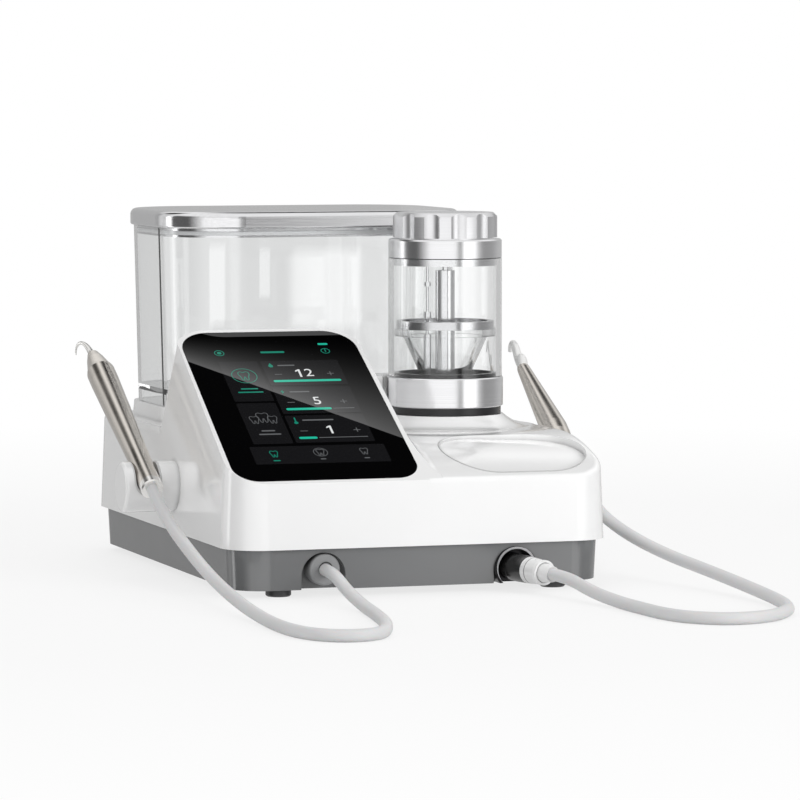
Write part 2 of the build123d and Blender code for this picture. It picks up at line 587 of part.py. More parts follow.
# Rear panel and the interfaces in it
INLET_X = -45.0
INLET_Z = (PANEL_Z[0] + 1.5, PANEL_Z[1] - 1.5)
PANEL_MID_Z = (PANEL_Z[0] + PANEL_Z[1]) / 2
SWITCH_X = -5.0
SWITCH_Z = PANEL_MID_Z
AIR_X = 28.0
AIR_Z = PANEL_MID_Z
PANEL_FRONT = PANEL_FACE + 3.0
PANEL_BEHIND = PANEL_FACE - 7.0
AIR_BORE_R = 3.05
PEDAL_X = 56.0
PEDAL_R = 6.0
FIT = 0.1
INLET_BODY = 13.8
SWITCH_BODY_X = 6.6
SWITCH_BODY_Z = 10.0
AIR_BODY_R = 6.0
PEDAL_BODY_R = 7.4


def panel_hole(x0, x1, z0, z1):
    return slab(x0 - FIT, x1 + FIT, PANEL_BEHIND, PANEL_FRONT, z0 - FIT, z1 + FIT)


panel = slab(-PANEL_HALF_X, PANEL_HALF_X, PANEL_INSIDE, PANEL_FACE, PANEL_Z[0], PANEL_Z[1])
panel = panel - panel_hole(INLET_X - INLET_BODY, INLET_X + INLET_BODY, INLET_Z[0] + 1.2, INLET_Z[1] - 1.2)
panel = panel - panel_hole(SWITCH_X - SWITCH_BODY_X, SWITCH_X + SWITCH_BODY_X,
                           SWITCH_Z - SWITCH_BODY_Z, SWITCH_Z + SWITCH_BODY_Z)
panel = panel - yrod(AIR_BODY_R + FIT, PANEL_BEHIND, PANEL_FRONT, AIR_X, AIR_Z)
panel = panel - yrod(PEDAL_BODY_R + FIT, PANEL_BEHIND, PANEL_FRONT, PEDAL_X, AIR_Z)
for px, pz in PANEL_SCREWS:
    panel = panel - yrod(SCREW_HOLE_R, PANEL_BEHIND, PANEL_FRONT, px, pz)
save(panel, "rear_panel")
panel_screws = Part()
for px, pz in PANEL_SCREWS:
    panel_screws = panel_screws + yrod(2.8, PANEL_FACE, PANEL_FACE + 1.9, px, pz) + yrod(
        SCREW_R, PANEL_FACE - 5, PANEL_FACE + 0.1, px, pz)
save(panel_screws, "panel_screws")

DRAWER_HALF = 11.1
DRAWER_H = 7.8
DRAWER_Z = (INLET_Z[1] - 2.6 - DRAWER_H, INLET_Z[1] - 2.6)
DRAWER_GAP = 0.1
INLET_BACK = PANEL_FACE - 24.0
CORE_BACK = PANEL_FACE - 16.0
CORE_Z = INLET_Z[0] + 3.3
CORE_H = 16.2
inlet = slab(INLET_X - 15.5, INLET_X + 15.5, PANEL_FACE, PANEL_FACE + 2.3, INLET_Z[0], INLET_Z[1])
inlet = inlet + slab(INLET_X - INLET_BODY, INLET_X + INLET_BODY, INLET_BACK, PANEL_FACE,
                     INLET_Z[0] + 1.2, INLET_Z[1] - 1.2)
inlet = inlet - slab(INLET_X - 12, INLET_X + 12, CORE_BACK, FAR, CORE_Z, CORE_Z + CORE_H)
inlet = inlet - slab(INLET_X - DRAWER_HALF - DRAWER_GAP, INLET_X + DRAWER_HALF + DRAWER_GAP, INLET_BACK + 2.2,
                     FAR, DRAWER_Z[0] - DRAWER_GAP, DRAWER_Z[1] + DRAWER_GAP)
for dx, dz in ((0, 11.4), (-7, 5.4), (7, 5.4)):
    inlet = inlet + slab(INLET_X + dx - 1, INLET_X + dx + 1, CORE_BACK - 0.1, PANEL_FACE - 3.5,
                         CORE_Z + dz - 2, CORE_Z + dz + 2)
save(inlet, "mains_inlet")
DRAWER_BACK = INLET_BACK + 2.5
DRAWER_FRONT = PANEL_FACE + 2.6
FUSE_APART = 5.2
FUSE_R = 2.6
drawer = slab(INLET_X - DRAWER_HALF, INLET_X + DRAWER_HALF, DRAWER_BACK, DRAWER_FRONT,
              DRAWER_Z[0], DRAWER_Z[1])
for dx in (-FUSE_APART, FUSE_APART):
    drawer = drawer - slab(INLET_X + dx - FUSE_R - 0.2, INLET_X + dx + FUSE_R + 0.2, DRAWER_BACK + 0.9,
                           DRAWER_FRONT - 2.4, DRAWER_Z[0] + 1.2, FAR)
drawer = drawer - slab(INLET_X - 4, INLET_X + 4, DRAWER_FRONT - 1.2, FAR, DRAWER_Z[0] - 1, DRAWER_Z[0] + 2)
save(drawer, "fuse_drawer")
fuses = Part()
for dx in (-FUSE_APART, FUSE_APART):
    fuses = fuses + yrod(FUSE_R, DRAWER_BACK + 1.3, DRAWER_FRONT - 2.8, INLET_X + dx, DRAWER_Z[0] + 3.9)
save(fuses, "fuses")

ROCKER_HALF = 5.4
AXLE_R = 1.2
AXLE_GAP = 0.06
ROCKER_Y = PANEL_FACE - 2.0
ROCKER_REST = 8.0
UNIT_BACK = PANEL_FACE - 19.0
switch = slab(SWITCH_X - 8, SWITCH_X + 8, PANEL_FACE, PANEL_FACE + 2, SWITCH_Z - 12, SWITCH_Z + 12)
switch = switch + slab(SWITCH_X - SWITCH_BODY_X, SWITCH_X + SWITCH_BODY_X, UNIT_BACK, PANEL_FACE,
                       SWITCH_Z - SWITCH_BODY_Z, SWITCH_Z + SWITCH_BODY_Z)
switch = switch - slab(SWITCH_X - ROCKER_HALF - 0.2, SWITCH_X + ROCKER_HALF + 0.2, PANEL_FACE - 9, FAR,
                       SWITCH_Z - 8.6, SWITCH_Z + 8.6)
switch = switch - xrod(AXLE_R + AXLE_GAP, SWITCH_X - 6.2, SWITCH_X + 6.2, ROCKER_Y, SWITCH_Z)
save(switch, "power_switch")
rocker_side = make_face(Polyline((3.4, -7.2), (2.9, 0), (3.4, 7.2), (0.6, 7.2), (-2.4, 5.4), (-4.4, 0),
                                 (-2.4, -5.4), (0.6, -7.2), close=True))
rocker = extrude(Plane.YZ * rocker_side, ROCKER_HALF, both=True) + xrod(AXLE_R, -6.1, 6.1, 0, 0)
rocker = Pos(SWITCH_X, ROCKER_Y, SWITCH_Z) * Rot(-ROCKER_REST, 0, 0) * rocker
save(rocker, "power_rocker")

air_inlet = yrod(AIR_BODY_R, UNIT_BACK, PANEL_FACE, AIR_X, AIR_Z)
air_inlet = air_inlet + yrod(8.0, PANEL_FACE, PANEL_FACE + 2, AIR_X, AIR_Z)
air_inlet = air_inlet + yrod(5.2, PANEL_FACE + 2, PANEL_FACE + 3.2, AIR_X, AIR_Z)
air_inlet = air_inlet - yrod(AIR_BORE_R, PANEL_FACE - 15, FAR, AIR_X, AIR_Z)
save(air_inlet, "air_inlet")
PEDAL_FLOOR = PANEL_FACE - 8.0
pedal = yrod(PEDAL_BODY_R, UNIT_BACK, PANEL_FACE, PEDAL_X, AIR_Z)
pedal = pedal + yrod(9.0, PANEL_FACE, PANEL_FACE + 2.2, PEDAL_X, AIR_Z)
pedal = pedal - yrod(PEDAL_R, PEDAL_FLOOR, FAR, PEDAL_X, AIR_Z)
for i in range(4):
    turn = math.radians(90 * i + 45)
    pin_x = PEDAL_X + 3.2 * math.cos(turn)
    pin_z = AIR_Z + 3.2 * math.sin(turn)
    pedal = pedal + yrod(0.7, PEDAL_FLOOR - 0.1, PEDAL_FLOOR + 5.4, pin_x, pin_z)
save(pedal, "pedal_socket")

# Water tank
lean = math.tan(math.radians(TANK_FLARE))


def tank_form(inset, z0, z1):
    grow = 2 * (lean * (z0 - TANK_BOTTOM) - inset)
    return prism(TANK_X, TANK_Y, TANK_W + grow, TANK_D + grow, TANK_CORNER + grow / 2, z0, z1, -TANK_FLARE)


TANK_UNDER_Z = TANK_FLOOR_Z - TANK_WALL
OUTLET_STEM_R = 8.0
OUTLET_FLANGE_Z = PLATEAU_Z + 2.9
OUTLET_END = PLATEAU_Z - 8.6
OUTLET_BORE_R = 2.5
tank = tank_form(0, TANK_BOTTOM, TANK_TOP) - tank_form(TANK_WALL, TANK_FLOOR_Z, TANK_TOP + 2)
tank = tank - tank_form(TANK_WALL, TANK_BOTTOM - 1, TANK_UNDER_Z)
tank = tank - cyl(OUTLET_STEM_R, TANK_BOTTOM - 1, TANK_FLOOR_Z + 9, TANK_X, TANK_Y)
print("tank volume", round(tank.volume))
save(tank, "tank_shell")
outlet = cyl(12, TANK_FLOOR_Z, TANK_FLOOR_Z + 2, TANK_X, TANK_Y) + cyl(
    OUTLET_STEM_R, TANK_UNDER_Z, TANK_FLOOR_Z, TANK_X, TANK_Y) + cyl(
    10.5, OUTLET_FLANGE_Z, TANK_UNDER_Z, TANK_X, TANK_Y) + cyl(
    OUTLET_R, OUTLET_END, OUTLET_FLANGE_Z, TANK_X, TANK_Y)
outlet = outlet - cyl(OUTLET_BORE_R, 0, FAR, TANK_X, TANK_Y)
save(outlet, "tank_outlet")
socket = cyl(SOCKET_R, SOCKET_FLOOR, PLATEAU_Z - 0.4, TANK_X, TANK_Y)
socket = socket - cyl(OUTLET_R + OUTLET_GAP, OUTLET_END - 2, FAR, TANK_X, TANK_Y)
socket = socket - cyl(OUTLET_BORE_R, 0, FAR, TANK_X, TANK_Y)
save(socket, "tank_socket")

top_grow = 2 * lean * (TANK_TOP - TANK_BOTTOM)
lid_w = TANK_W + top_grow + 2 * LID_OVER
lid_d = TANK_D + top_grow + 2 * LID_OVER
lid_r = TANK_CORNER + top_grow / 2 + LID_OVER
lid = prism(TANK_X, TANK_Y, lid_w, lid_d, lid_r, LID_BOTTOM, LID_TOP)
lid = fillet(lid.faces().sort_by(Axis.Z)[-1].edges(), LID_ROUND)
lid = fillet(lid.faces().sort_by(Axis.Z)[0].edges(), 1.2)
plug_base = TANK_TOP - PLUG_DEPTH
plug_grow = 2 * (lean * (plug_base - TANK_BOTTOM) - TANK_WALL - PLUG_GAP)
plug_w = TANK_W + plug_grow
plug_d = TANK_D + plug_grow
plug_r = TANK_CORNER + plug_grow / 2


def plug_form(inset, z0, z1):
    return prism(TANK_X, TANK_Y, plug_w - 2 * inset, plug_d - 2 * inset, plug_r - inset, z0, z1)


lid = lid + plug_form(0, plug_base, LID_BOTTOM + 1)
lid = lid - plug_form(4.5, plug_base - 1, LID_TOP - 3)
SEAL_IN = 1.8
SEAL_OUT = 0.45
GROOVE_Z = (plug_base + 1.2, plug_base + 3.6)
RING_Z = (GROOVE_Z[0] + 0.1, GROOVE_Z[1] - 0.1)
lid = lid - (plug_form(-3, *GROOVE_Z) - plug_form(SEAL_IN, *GROOVE_Z))
save(lid, "tank_lid")
save(plug_form(-SEAL_OUT, *RING_Z) - plug_form(SEAL_IN, *RING_Z), "lid_seal")

# Powder chamber
SIDE_X = CHAMBER_X - PICKUP_OFFSET * math.cos(math.radians(18))
SIDE_Y = CHAMBER_Y + PICKUP_OFFSET * math.sin(math.radians(18))
SLEEVE_R = GLASS_CYL_R - GLASS_CYL_WALL - 0.15
SLEEVE_IN = SLEEVE_R - 2.85
SPIGOT_END = FLARE_TOP - 6.9
SPIGOT_FLOOR = SPIGOT_END - 3.0
AIR_PIPE_R = 3.0
TUBE_SEAT = BASE_RING_TOP - 6.2
dock = turned([(AIR_PIPE_R, DOCK_FLOOR), (DOCK_R, DOCK_FLOOR), (DOCK_R, FLARE_TOP),
               (SPIGOT_R + SPIGOT_GAP, FLARE_TOP), (SPIGOT_R + SPIGOT_GAP, SPIGOT_FLOOR),
               (AIR_PIPE_R, SPIGOT_FLOOR)], CHAMBER_X, CHAMBER_Y)
save(dock, "dock_socket")
seal_ring = cyl(SEAL_RING_R, FLARE_TOP + 0.3, SEAL_TOP, CHAMBER_X, CHAMBER_Y) - cyl(
    SPIGOT_R, 0, FAR, CHAMBER_X, CHAMBER_Y)
save(seal_ring, "chamber_seal")
base = turned([(AIR_PIPE_R, SPIGOT_END), (SPIGOT_R, SPIGOT_END), (SPIGOT_R, SEAL_TOP),
               (BASE_RING_R - 0.6, SEAL_TOP),
               (BASE_RING_R, SEAL_TOP + 0.6), (BASE_RING_R, BASE_RING_TOP - 0.6),
               (BASE_RING_R - 0.6, BASE_RING_TOP), (SLEEVE_R, BASE_RING_TOP),
               (SLEEVE_R, BASE_RING_TOP + 2.2), (SLEEVE_IN, BASE_RING_TOP + 2.2), (SLEEVE_IN, BASE_RING_TOP),
               (TUBE_R, BASE_RING_TOP), (TUBE_R, TUBE_SEAT), (AIR_PIPE_R, TUBE_SEAT)], CHAMBER_X, CHAMBER_Y)
SUCTION_SEAT = BASE_RING_TOP - 4.2
base = base - cyl(SUCTION_R, SUCTION_SEAT, FAR, SIDE_X, SIDE_Y)
save(base, "chamber_base")
save(cyl(GLASS_CYL_R, BASE_RING_TOP, GLASS_CYL_TOP, CHAMBER_X, CHAMBER_Y) - cyl(
    GLASS_CYL_R - GLASS_CYL_WALL, 0, FAR, CHAMBER_X, CHAMBER_Y), "chamber_glass")
CONE_START = BASE_RING_TOP + 3.0
funnel = turned([(CONE_LOW_R - CONE_WALL, BASE_RING_TOP), (CONE_LOW_R, BASE_RING_TOP),
                 (CONE_LOW_R, CONE_START),
                 (CONE_TOP_R, FLANGE_Z[0]), (FLANGE_R, FLANGE_Z[0]), (FLANGE_R, FLANGE_Z[1]),
                 (CONE_TOP_R - CONE_WALL, FLANGE_Z[1]), (CONE_TOP_R - CONE_WALL, FLANGE_Z[0]),
                 (CONE_LOW_R - CONE_WALL, CONE_START)], CHAMBER_X, CHAMBER_Y)
save(funnel, "funnel")
save(cyl(MID_RING_R, MID_RING_Z[0], MID_RING_Z[1], CHAMBER_X, CHAMBER_Y) - cyl(
    CONE_TOP_R, 0, FAR, CHAMBER_X, CHAMBER_Y), "mid_ring")
TUBE_TOP = GLASS_CYL_TOP - 7.1
TUBE_BORE_R = 3.4
SUCTION_TOP = FLANGE_Z[0] + 0.6
save(cyl(TUBE_R, TUBE_SEAT, TUBE_TOP, CHAMBER_X, CHAMBER_Y) - cyl(
    TUBE_BORE_R, 0, FAR, CHAMBER_X, CHAMBER_Y), "center_tube")
save(cyl(TUBE_BORE_R, TUBE_TOP - 12.6, TUBE_TOP - 2.6, CHAMBER_X, CHAMBER_Y) + cyl(
    PIN_R, TUBE_TOP - 20.6, TUBE_TOP + 6.9, CHAMBER_X, CHAMBER_Y) + cyl(
    3.0, TUBE_TOP + 4.8, TUBE_TOP + 6.0, CHAMBER_X, CHAMBER_Y), "center_pin")
save(cyl(PICKUP_R, SUCTION_TOP, GLASS_CYL_TOP - 1.2, SIDE_X, SIDE_Y) + cyl(
    2.0, GLASS_CYL_TOP - 16.3, GLASS_CYL_TOP - 13.9, SIDE_X, SIDE_Y) + cyl(
    2.2, MID_RING_Z[1] + 1, MID_RING_Z[1] + 4.8, SIDE_X, SIDE_Y), "pickup_tube")
save(cyl(SUCTION_R, SUCTION_SEAT, SUCTION_TOP, SIDE_X, SIDE_Y), "suction_tube")
collar = turned([(THREAD_R, GLASS_CYL_TOP - 4), (SLEEVE_R, GLASS_CYL_TOP - 4), (SLEEVE_R, GLASS_CYL_TOP),
                 (COLLAR_R - 0.5, GLASS_CYL_TOP), (COLLAR_R, GLASS_CYL_TOP + 0.5), (COLLAR_R, COLLAR_TOP - 0.8),
                 (COLLAR_R - 0.8, COLLAR_TOP), (THREAD_R, COLLAR_TOP)], CHAMBER_X, CHAMBER_Y)
save(collar, "chamber_collar")
CAP_FIT = 0.1
thread_end = CAP_BOTTOM - CAP_THREAD
cap = turned([(0, thread_end), (THREAD_R - CAP_FIT, thread_end), (THREAD_R - CAP_FIT, CAP_BOTTOM),
              (CAP_R, CAP_BOTTOM), (CAP_R, CAP_TOP - 2.2), (CAP_R - 2.2, CAP_TOP), (0, CAP_TOP)],
             CHAMBER_X, CHAMBER_Y)
for i in range(CAP_SCALLOPS):
    turn = math.radians(360 / CAP_SCALLOPS * (i + 0.5) - 108)
    far = CAP_R + SCALLOP_R - SCALLOP_DEPTH
    cap = cap - cyl(SCALLOP_R, CAP_BOTTOM - 1, CAP_TOP + 1, CHAMBER_X + far * math.cos(turn),
                    CHAMBER_Y + far * math.sin(turn))
save(cap, "chamber_cap")
save(cyl(THREAD_R - CAP_FIT, thread_end - CAP_SEAL_H, thread_end, CHAMBER_X, CHAMBER_Y), "cap_seal")


# Handpieces: each lies in a slot across its holder, lower end forward
def hand_frame(side, angle, offset):
    c = math.cos(math.radians(angle))
    s = math.sin(math.radians(angle))
    y = HOLDER_Y - offset * s - HOLD_POINT * c
    z = HOLDER_Z + offset * c - HOLD_POINT * s
    return Plane(origin=(side * HAND_X, y, z), x_dir=(1, 0, 0), z_dir=(0, c, s))


def u_bar(frame, r):
    bar = Pos(0, 0, HOLD_POINT) * Cylinder(r, SLOT_LENGTH)
    bar = bar + Pos(0, -SLOT_DEEP / 2, HOLD_POINT) * Box(2 * r, SLOT_DEEP, SLOT_LENGTH)
    return frame.location * bar


SCALER = hand_frame(-1, SCALER_ANGLE, SCALER_OFFSET)
POLISH = hand_frame(1, POLISH_ANGLE, POLISH_OFFSET)
SLOT_R = HAND_SLOT_R + LINER
for side, frame, name in ((-1, SCALER, "left"), (1, POLISH, "right")):
    body = xrod(HOLDER_R, side * (SHELL_HALF_X - 9.9), side * HOLDER_END, HOLDER_Y, HOLDER_Z)
    outside = body.faces().sort_by(Axis.X)[0 if side < 0 else -1]
    body = fillet(outside.edges(), 2.0)
    bore = u_bar(frame, SLOT_R)
    liner = (bore - u_bar(frame, HAND_SLOT_R)) & xrod(
        HOLDER_R - 0.3, side * (SHELL_HALF_X + 0.1), side * (HOLDER_END - 1.8), HOLDER_Y, HOLDER_Z)
    body = body - bore - envelope(0)
    stem = xrod(HOLDER_STEM_R, side * (SHELL_HALF_X - 8.9), side * (SHELL_HALF_X + 2.1), HOLDER_Y, HOLDER_Z)
    save(body + stem, name + "_holder")
    save(liner, name + "_liner")
    print(name, "holder", round(body.volume), "liner solids", len(liner.solids()))


def taper_tube(points, radii, first):
    spine = Spline(*points, tangents=(first, (points[-1] - points[-2]).normalized()))
    rings = []
    for i, r in enumerate(radii):
        t = 0.0 if i == 0 else 1.0 if i == len(radii) - 1 else spine.param_at_point(points[i])
        rings.append(Plane(origin=spine @ t, z_dir=spine % t) * Circle(r))
    return loft(rings)


TAIL_END_R = 6.3
TAIL_LENGTH = 5.0
GRIP_R = 6.45
GRIP_AT = 36.0
tail_line = [(0, 0), (TAIL_END_R - 0.7, 0), (TAIL_END_R, 0.8), (TAIL_END_R, TAIL_LENGTH), (0, TAIL_LENGTH)]
body_start = [(0, TAIL_LENGTH), (TAIL_END_R, TAIL_LENGTH), (GRIP_R, GRIP_AT)]
SCALER_NOSE = 18.0
BELLY_FROM = 59.0
BELLY_TO = 13.0
BELLY_R = 7.3
nose_at = SCALER_LENGTH - SCALER_NOSE
save(SCALER.location * turned(tail_line, 0, 0), "scaler_tail")
save(SCALER.location * turned(body_start + [
    (BELLY_R, nose_at - BELLY_FROM), (SCALER_MAX_R, nose_at - BELLY_TO), (SCALER_MAX_R, nose_at - 3),
    (7.5, nose_at), (0, nose_at)], 0, 0), "scaler_body")
save(SCALER.location * turned([
    (0, nose_at), (BELLY_R, nose_at), (5.2, nose_at + 11), (3.9, SCALER_LENGTH - 2), (3.4, SCALER_LENGTH),
    (0, SCALER_LENGTH)], 0, 0), "scaler_nose")
nose = SCALER.origin + SCALER.z_dir * SCALER_LENGTH
TIP = [nose + Vector(*p) for p in ((0, 0, 0), (-1.2, 4.6, 3.0), (-2.7, 7.6, 5.6), (-4.6, 11.2, 6.6),
                                   (-6.1, 14.4, 4.3), (-6.3, 15.4, -0.6))]
save(taper_tube(TIP, [2.2, 1.7, 1.3, 1.0, 0.7, 0.3], SCALER.z_dir), "scaler_tip")

save(POLISH.location * turned(tail_line, 0, 0), "polisher_tail")
save(POLISH.location * turned(body_start + [(7.6, GRIP_AT + 10), (POLISH_MAX_R, GRIP_AT + 18), (
    3.9, POLISH_LENGTH - 2), (3.6, POLISH_LENGTH), (0, POLISH_LENGTH)], 0, 0), "polisher_body")
mouth = POLISH.origin + POLISH.z_dir * POLISH_LENGTH
JET = [mouth + Vector(*p) for p in ((0, 0, 0), (0, 7.6, 5.4), (0, 13.8, 11.6), (0, 18.2, 13.6),
                                    (0, 21.6, 11.6), (0, 23.0, 8.6))]
save(taper_tube(JET, [3.3, 2.8, 2.3, 2.0, 1.6, 1.25], POLISH.z_dir), "polisher_nozzle")

# Ports on the front of the tray
GLAND_FACE = -TRAY_HALF_Y - 2.1
gland = yrod(8.6, GLAND_FACE, ARCH_BACK, PORT_LEFT_X, GLAND_Z)
gland = gland + yrod(GLAND_NECK_R, ARCH_BACK, PORT_BACK, PORT_LEFT_X, GLAND_Z)
gland = gland + yrod(7.0, PORT_BACK, PORT_BACK + 2.6, PORT_LEFT_X, GLAND_Z)
gland = fillet(gland.faces().sort_by(Axis.Y)[0].edges(), 1.2)
save(gland, "left_gland")
chrome = yrod(ARCH_R - 0.15, -TRAY_HALF_Y - 1.3, ARCH_BACK, PORT_RIGHT_X, ARCH_Z) - yrod(
    ARCH_R - 1.75, -FAR, ARCH_BACK - 2, PORT_RIGHT_X, ARCH_Z)
chrome = chrome & slab(0, FAR, -FAR, 0, TRAY_BOTTOM + 0.2, FAR)
PLUG_R = 5.0
PLUG_GAP_R = 0.08
PLUG_FACE = -TRAY_HALF_Y - 3.1
chrome = chrome + yrod(SOCKET_NECK_R, ARCH_BACK - 1, PORT_BACK + 0.1, PORT_RIGHT_X, PORT_Z)
chrome = chrome - yrod(PLUG_R + PLUG_GAP_R, -FAR, PORT_BACK - 1, PORT_RIGHT_X, PORT_Z)
save(chrome, "right_socket")

BOOT_R = 7.6
BOOT_START = Vector(PORT_RIGHT_X, PLUG_FACE, PORT_Z)
BOOT_DIR = Vector(9.4, -30.5, -1.0).normalized()
BOOT_LENGTH = 31.9


def boot_ring(at, r):
    return Plane(origin=BOOT_START + BOOT_DIR * at, z_dir=BOOT_DIR) * Circle(r)


STEP_AT = 22.0
STEP_R = 5.6
plug = yrod(PLUG_R, PLUG_FACE + 4, PORT_BACK - 1.6, PORT_RIGHT_X, PORT_Z)
plug = plug + yrod(BOOT_R, PLUG_FACE, PLUG_FACE + 8, PORT_RIGHT_X, PORT_Z)
plug = plug + Pos(*BOOT_START) * Sphere(BOOT_R)
plug = plug + loft([boot_ring(0, BOOT_R), boot_ring(10, BOOT_R - 0.2), boot_ring(STEP_AT, BOOT_R - 1)])
plug = plug + loft([boot_ring(STEP_AT, STEP_R), boot_ring(BOOT_LENGTH - 3.9, 4.9),
                    boot_ring(BOOT_LENGTH, 4.3)])
save(plug, "right_plug")
collar_ring = extrude(boot_ring(STEP_AT, BOOT_R - 0.7), 2.6)
collar_ring = collar_ring - extrude(boot_ring(STEP_AT - 0.1, STEP_R + 0.02), 3.0)
save(collar_ring, "right_plug_ring")

# Cords: straight runs joined by tangent arcs, points chosen by hand
LEFT_START = Vector(PORT_LEFT_X, GLAND_FACE, GLAND_Z)
LEFT_END = SCALER.origin
LEFT_ROUTE = [LEFT_START, (-56.7, -164.0, 14.9), (-57.2, -192.0, 8.2), (-58.0, -224.0, CORD_REST),
              (-60.2, -260.0, CORD_REST), (-65.2, -296.0, CORD_REST), (-72.0, -328.0, CORD_REST),
              (-82.8, -341.5, CORD_REST), (-98.0, -345.8, CORD_REST), (-113.1, -341.0, CORD_REST),
              (-123.4, -328.0, CORD_REST), (-126.4, -306.0, CORD_REST), (-125.4, -270.0, CORD_REST),
              (-124.4, -226.0, 5.8), (-125.0, -180.0, 12.0), (-126.2, -136.0, 22.0),
              LEFT_END - SCALER.z_dir * 30, LEFT_END]
RIGHT_START = BOOT_START + BOOT_DIR * BOOT_LENGTH
RIGHT_END = POLISH.origin
RIGHT_ROUTE = [RIGHT_START, RIGHT_START + BOOT_DIR * 14, (72.0, -217.0, 6.3), (76.8, -247.0, CORD_REST),
               (78.2, -278.0, CORD_REST), (79.5, -305.0, CORD_REST), (87.5, -324.0, CORD_REST),
               (105.0, -336.5, CORD_REST), (127.0, -337.0, CORD_REST), (146.5, -327.0, CORD_REST),
               (157.0, -307.5, CORD_REST), (160.5, -275.0, 3.7), (164.5, -225.0, 6.2), (157.0, -175.0, 10.9),
               (146.5, -137.0, 16.2), (135.5, -100.0, 24.6), RIGHT_END - POLISH.z_dir * 26, RIGHT_END]


def cord(route, name):
    points = [Vector(*p) if isinstance(p, tuple) else p for p in route]
    radii = []
    for a, b, c in zip(points, points[1:], points[2:]):
        half = math.radians((b - a).get_angle(c - b)) / 2
        radii.append(0.45 * min((b - a).length, (c - b).length) / math.tan(half))
    path = FilletPolyline(*points, radius=radii)
    start = Plane(origin=path @ 0, z_dir=path % 0)
    tube = sweep(start * Circle(CORD_R), path=path)
    print(name, "radii", [round(r) for r in radii], "length", round(path.length, 1),
          "volume ratio", round(tube.volume / (math.pi * CORD_R ** 2 * path.length), 4))
    save(tube, name)


cord(LEFT_ROUTE, "left_cord")
cord(RIGHT_ROUTE, "right_cord")
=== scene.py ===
import math

import bmesh
import bpy
from mathutils import Matrix, Vector


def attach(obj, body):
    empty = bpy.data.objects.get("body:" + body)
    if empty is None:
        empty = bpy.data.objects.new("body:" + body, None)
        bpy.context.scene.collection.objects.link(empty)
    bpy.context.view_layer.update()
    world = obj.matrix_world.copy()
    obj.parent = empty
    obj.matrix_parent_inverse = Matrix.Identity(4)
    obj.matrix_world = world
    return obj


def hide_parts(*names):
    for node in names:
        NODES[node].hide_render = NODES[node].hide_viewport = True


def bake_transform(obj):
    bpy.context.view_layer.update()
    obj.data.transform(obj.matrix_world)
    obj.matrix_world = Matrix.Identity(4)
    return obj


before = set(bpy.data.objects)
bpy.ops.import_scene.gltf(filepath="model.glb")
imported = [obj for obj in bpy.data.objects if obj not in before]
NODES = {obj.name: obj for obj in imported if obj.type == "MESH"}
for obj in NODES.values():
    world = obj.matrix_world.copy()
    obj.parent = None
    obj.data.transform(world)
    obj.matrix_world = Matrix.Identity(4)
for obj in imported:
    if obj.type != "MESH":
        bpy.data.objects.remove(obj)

MM = 0.001
SCENE = bpy.context.scene
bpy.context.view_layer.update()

# Camera, as the photograph was taken
PHOTO_SIZE = 800
SENSOR_WIDTH = 36.0
CAMERA_AZIMUTH = math.radians(-17.96)
CAMERA_ELEVATION = math.radians(4.0)
CAMERA_PLACE = Vector((-0.7915, -2.5472, 0.2824))
CAMERA_LENS = 209.7
CAMERA_RIGHT = Vector((math.cos(CAMERA_AZIMUTH), math.sin(CAMERA_AZIMUTH), 0))
TOWARDS_CAMERA = Vector((math.sin(CAMERA_AZIMUTH) * math.cos(CAMERA_ELEVATION),
                         -math.cos(CAMERA_AZIMUTH) * math.cos(CAMERA_ELEVATION),
                         math.sin(CAMERA_ELEVATION)))

# Screen glass: foot of its outer face, and its slope
GLASS_FOOT = Vector((0, -149.05, 62.3)) * MM
GLASS_ANGLE = math.radians(29.5)
GLASS_UP = Vector((0, math.cos(GLASS_ANGLE), math.sin(GLASS_ANGLE)))
GLASS_OUT = Vector((0, -math.sin(GLASS_ANGLE), math.cos(GLASS_ANGLE)))

# Axes of turned pieces: a point on each, and the handpieces' slopes
AXIS_Y = (0, 1, 0)
AXIS_Z = (0, 0, 1)
CHAMBER_AXIS = Vector((54.3, -21.4, 0)) * MM
PORT_AXIS = Vector((53.4, 0, 12.7)) * MM
AIR_AXIS = Vector((28, 0, 51)) * MM
PEDAL_AXIS = Vector((56, 0, 51)) * MM
SCALER_ANGLE = math.radians(26.8)
POLISH_ANGLE = math.radians(30.6)
SCALER_TAIL = Vector((-127, -51.50, 52.18)) * MM
POLISH_TAIL = Vector((127, -50.59, 49.22)) * MM


def hand_axis(angle):
    return Vector((0, math.cos(angle), math.sin(angle)))


def on_glass(x, s, lift=0.0):
    """The place x to the right, s up the slope and lift above the screen glass, in millimetres."""
    return GLASS_FOOT + Vector((x * MM, 0, 0)) + GLASS_UP * (s * MM) + GLASS_OUT * (lift * MM)


# Objects
def add_object(name, data):
    item = bpy.data.objects.new(name, data)
    SCENE.collection.objects.link(item)
    return item


def aim(item, place, direction):
    item.location = place
    item.rotation_mode = "QUATERNION"
    item.rotation_quaternion = direction.to_track_quat("-Z", "Y")


def add_piece(name, data, material, body):
    """A piece of the object, in one material and riding on the body."""
    data.materials.append(material)
    piece = add_object(name, data)
    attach(piece, body)


def shape_data(name, shape, smooth):
    """The mesh data of a bmesh, which is freed."""
    data = bpy.data.meshes.new(name)
    shape.to_mesh(data)
    shape.free()
    for polygon in data.polygons:
        polygon.use_smooth = smooth
    return data


def curve_data(name, curve):
    """The mesh data that a curve or text gives."""
    holder = add_object(name + "_curve", curve)
    bpy.context.view_layer.update()
    data = bpy.data.meshes.new_from_object(holder.evaluated_get(bpy.context.evaluated_depsgraph_get()))
    bpy.data.objects.remove(holder)
    data.name = name
    data.materials.clear()
    return data


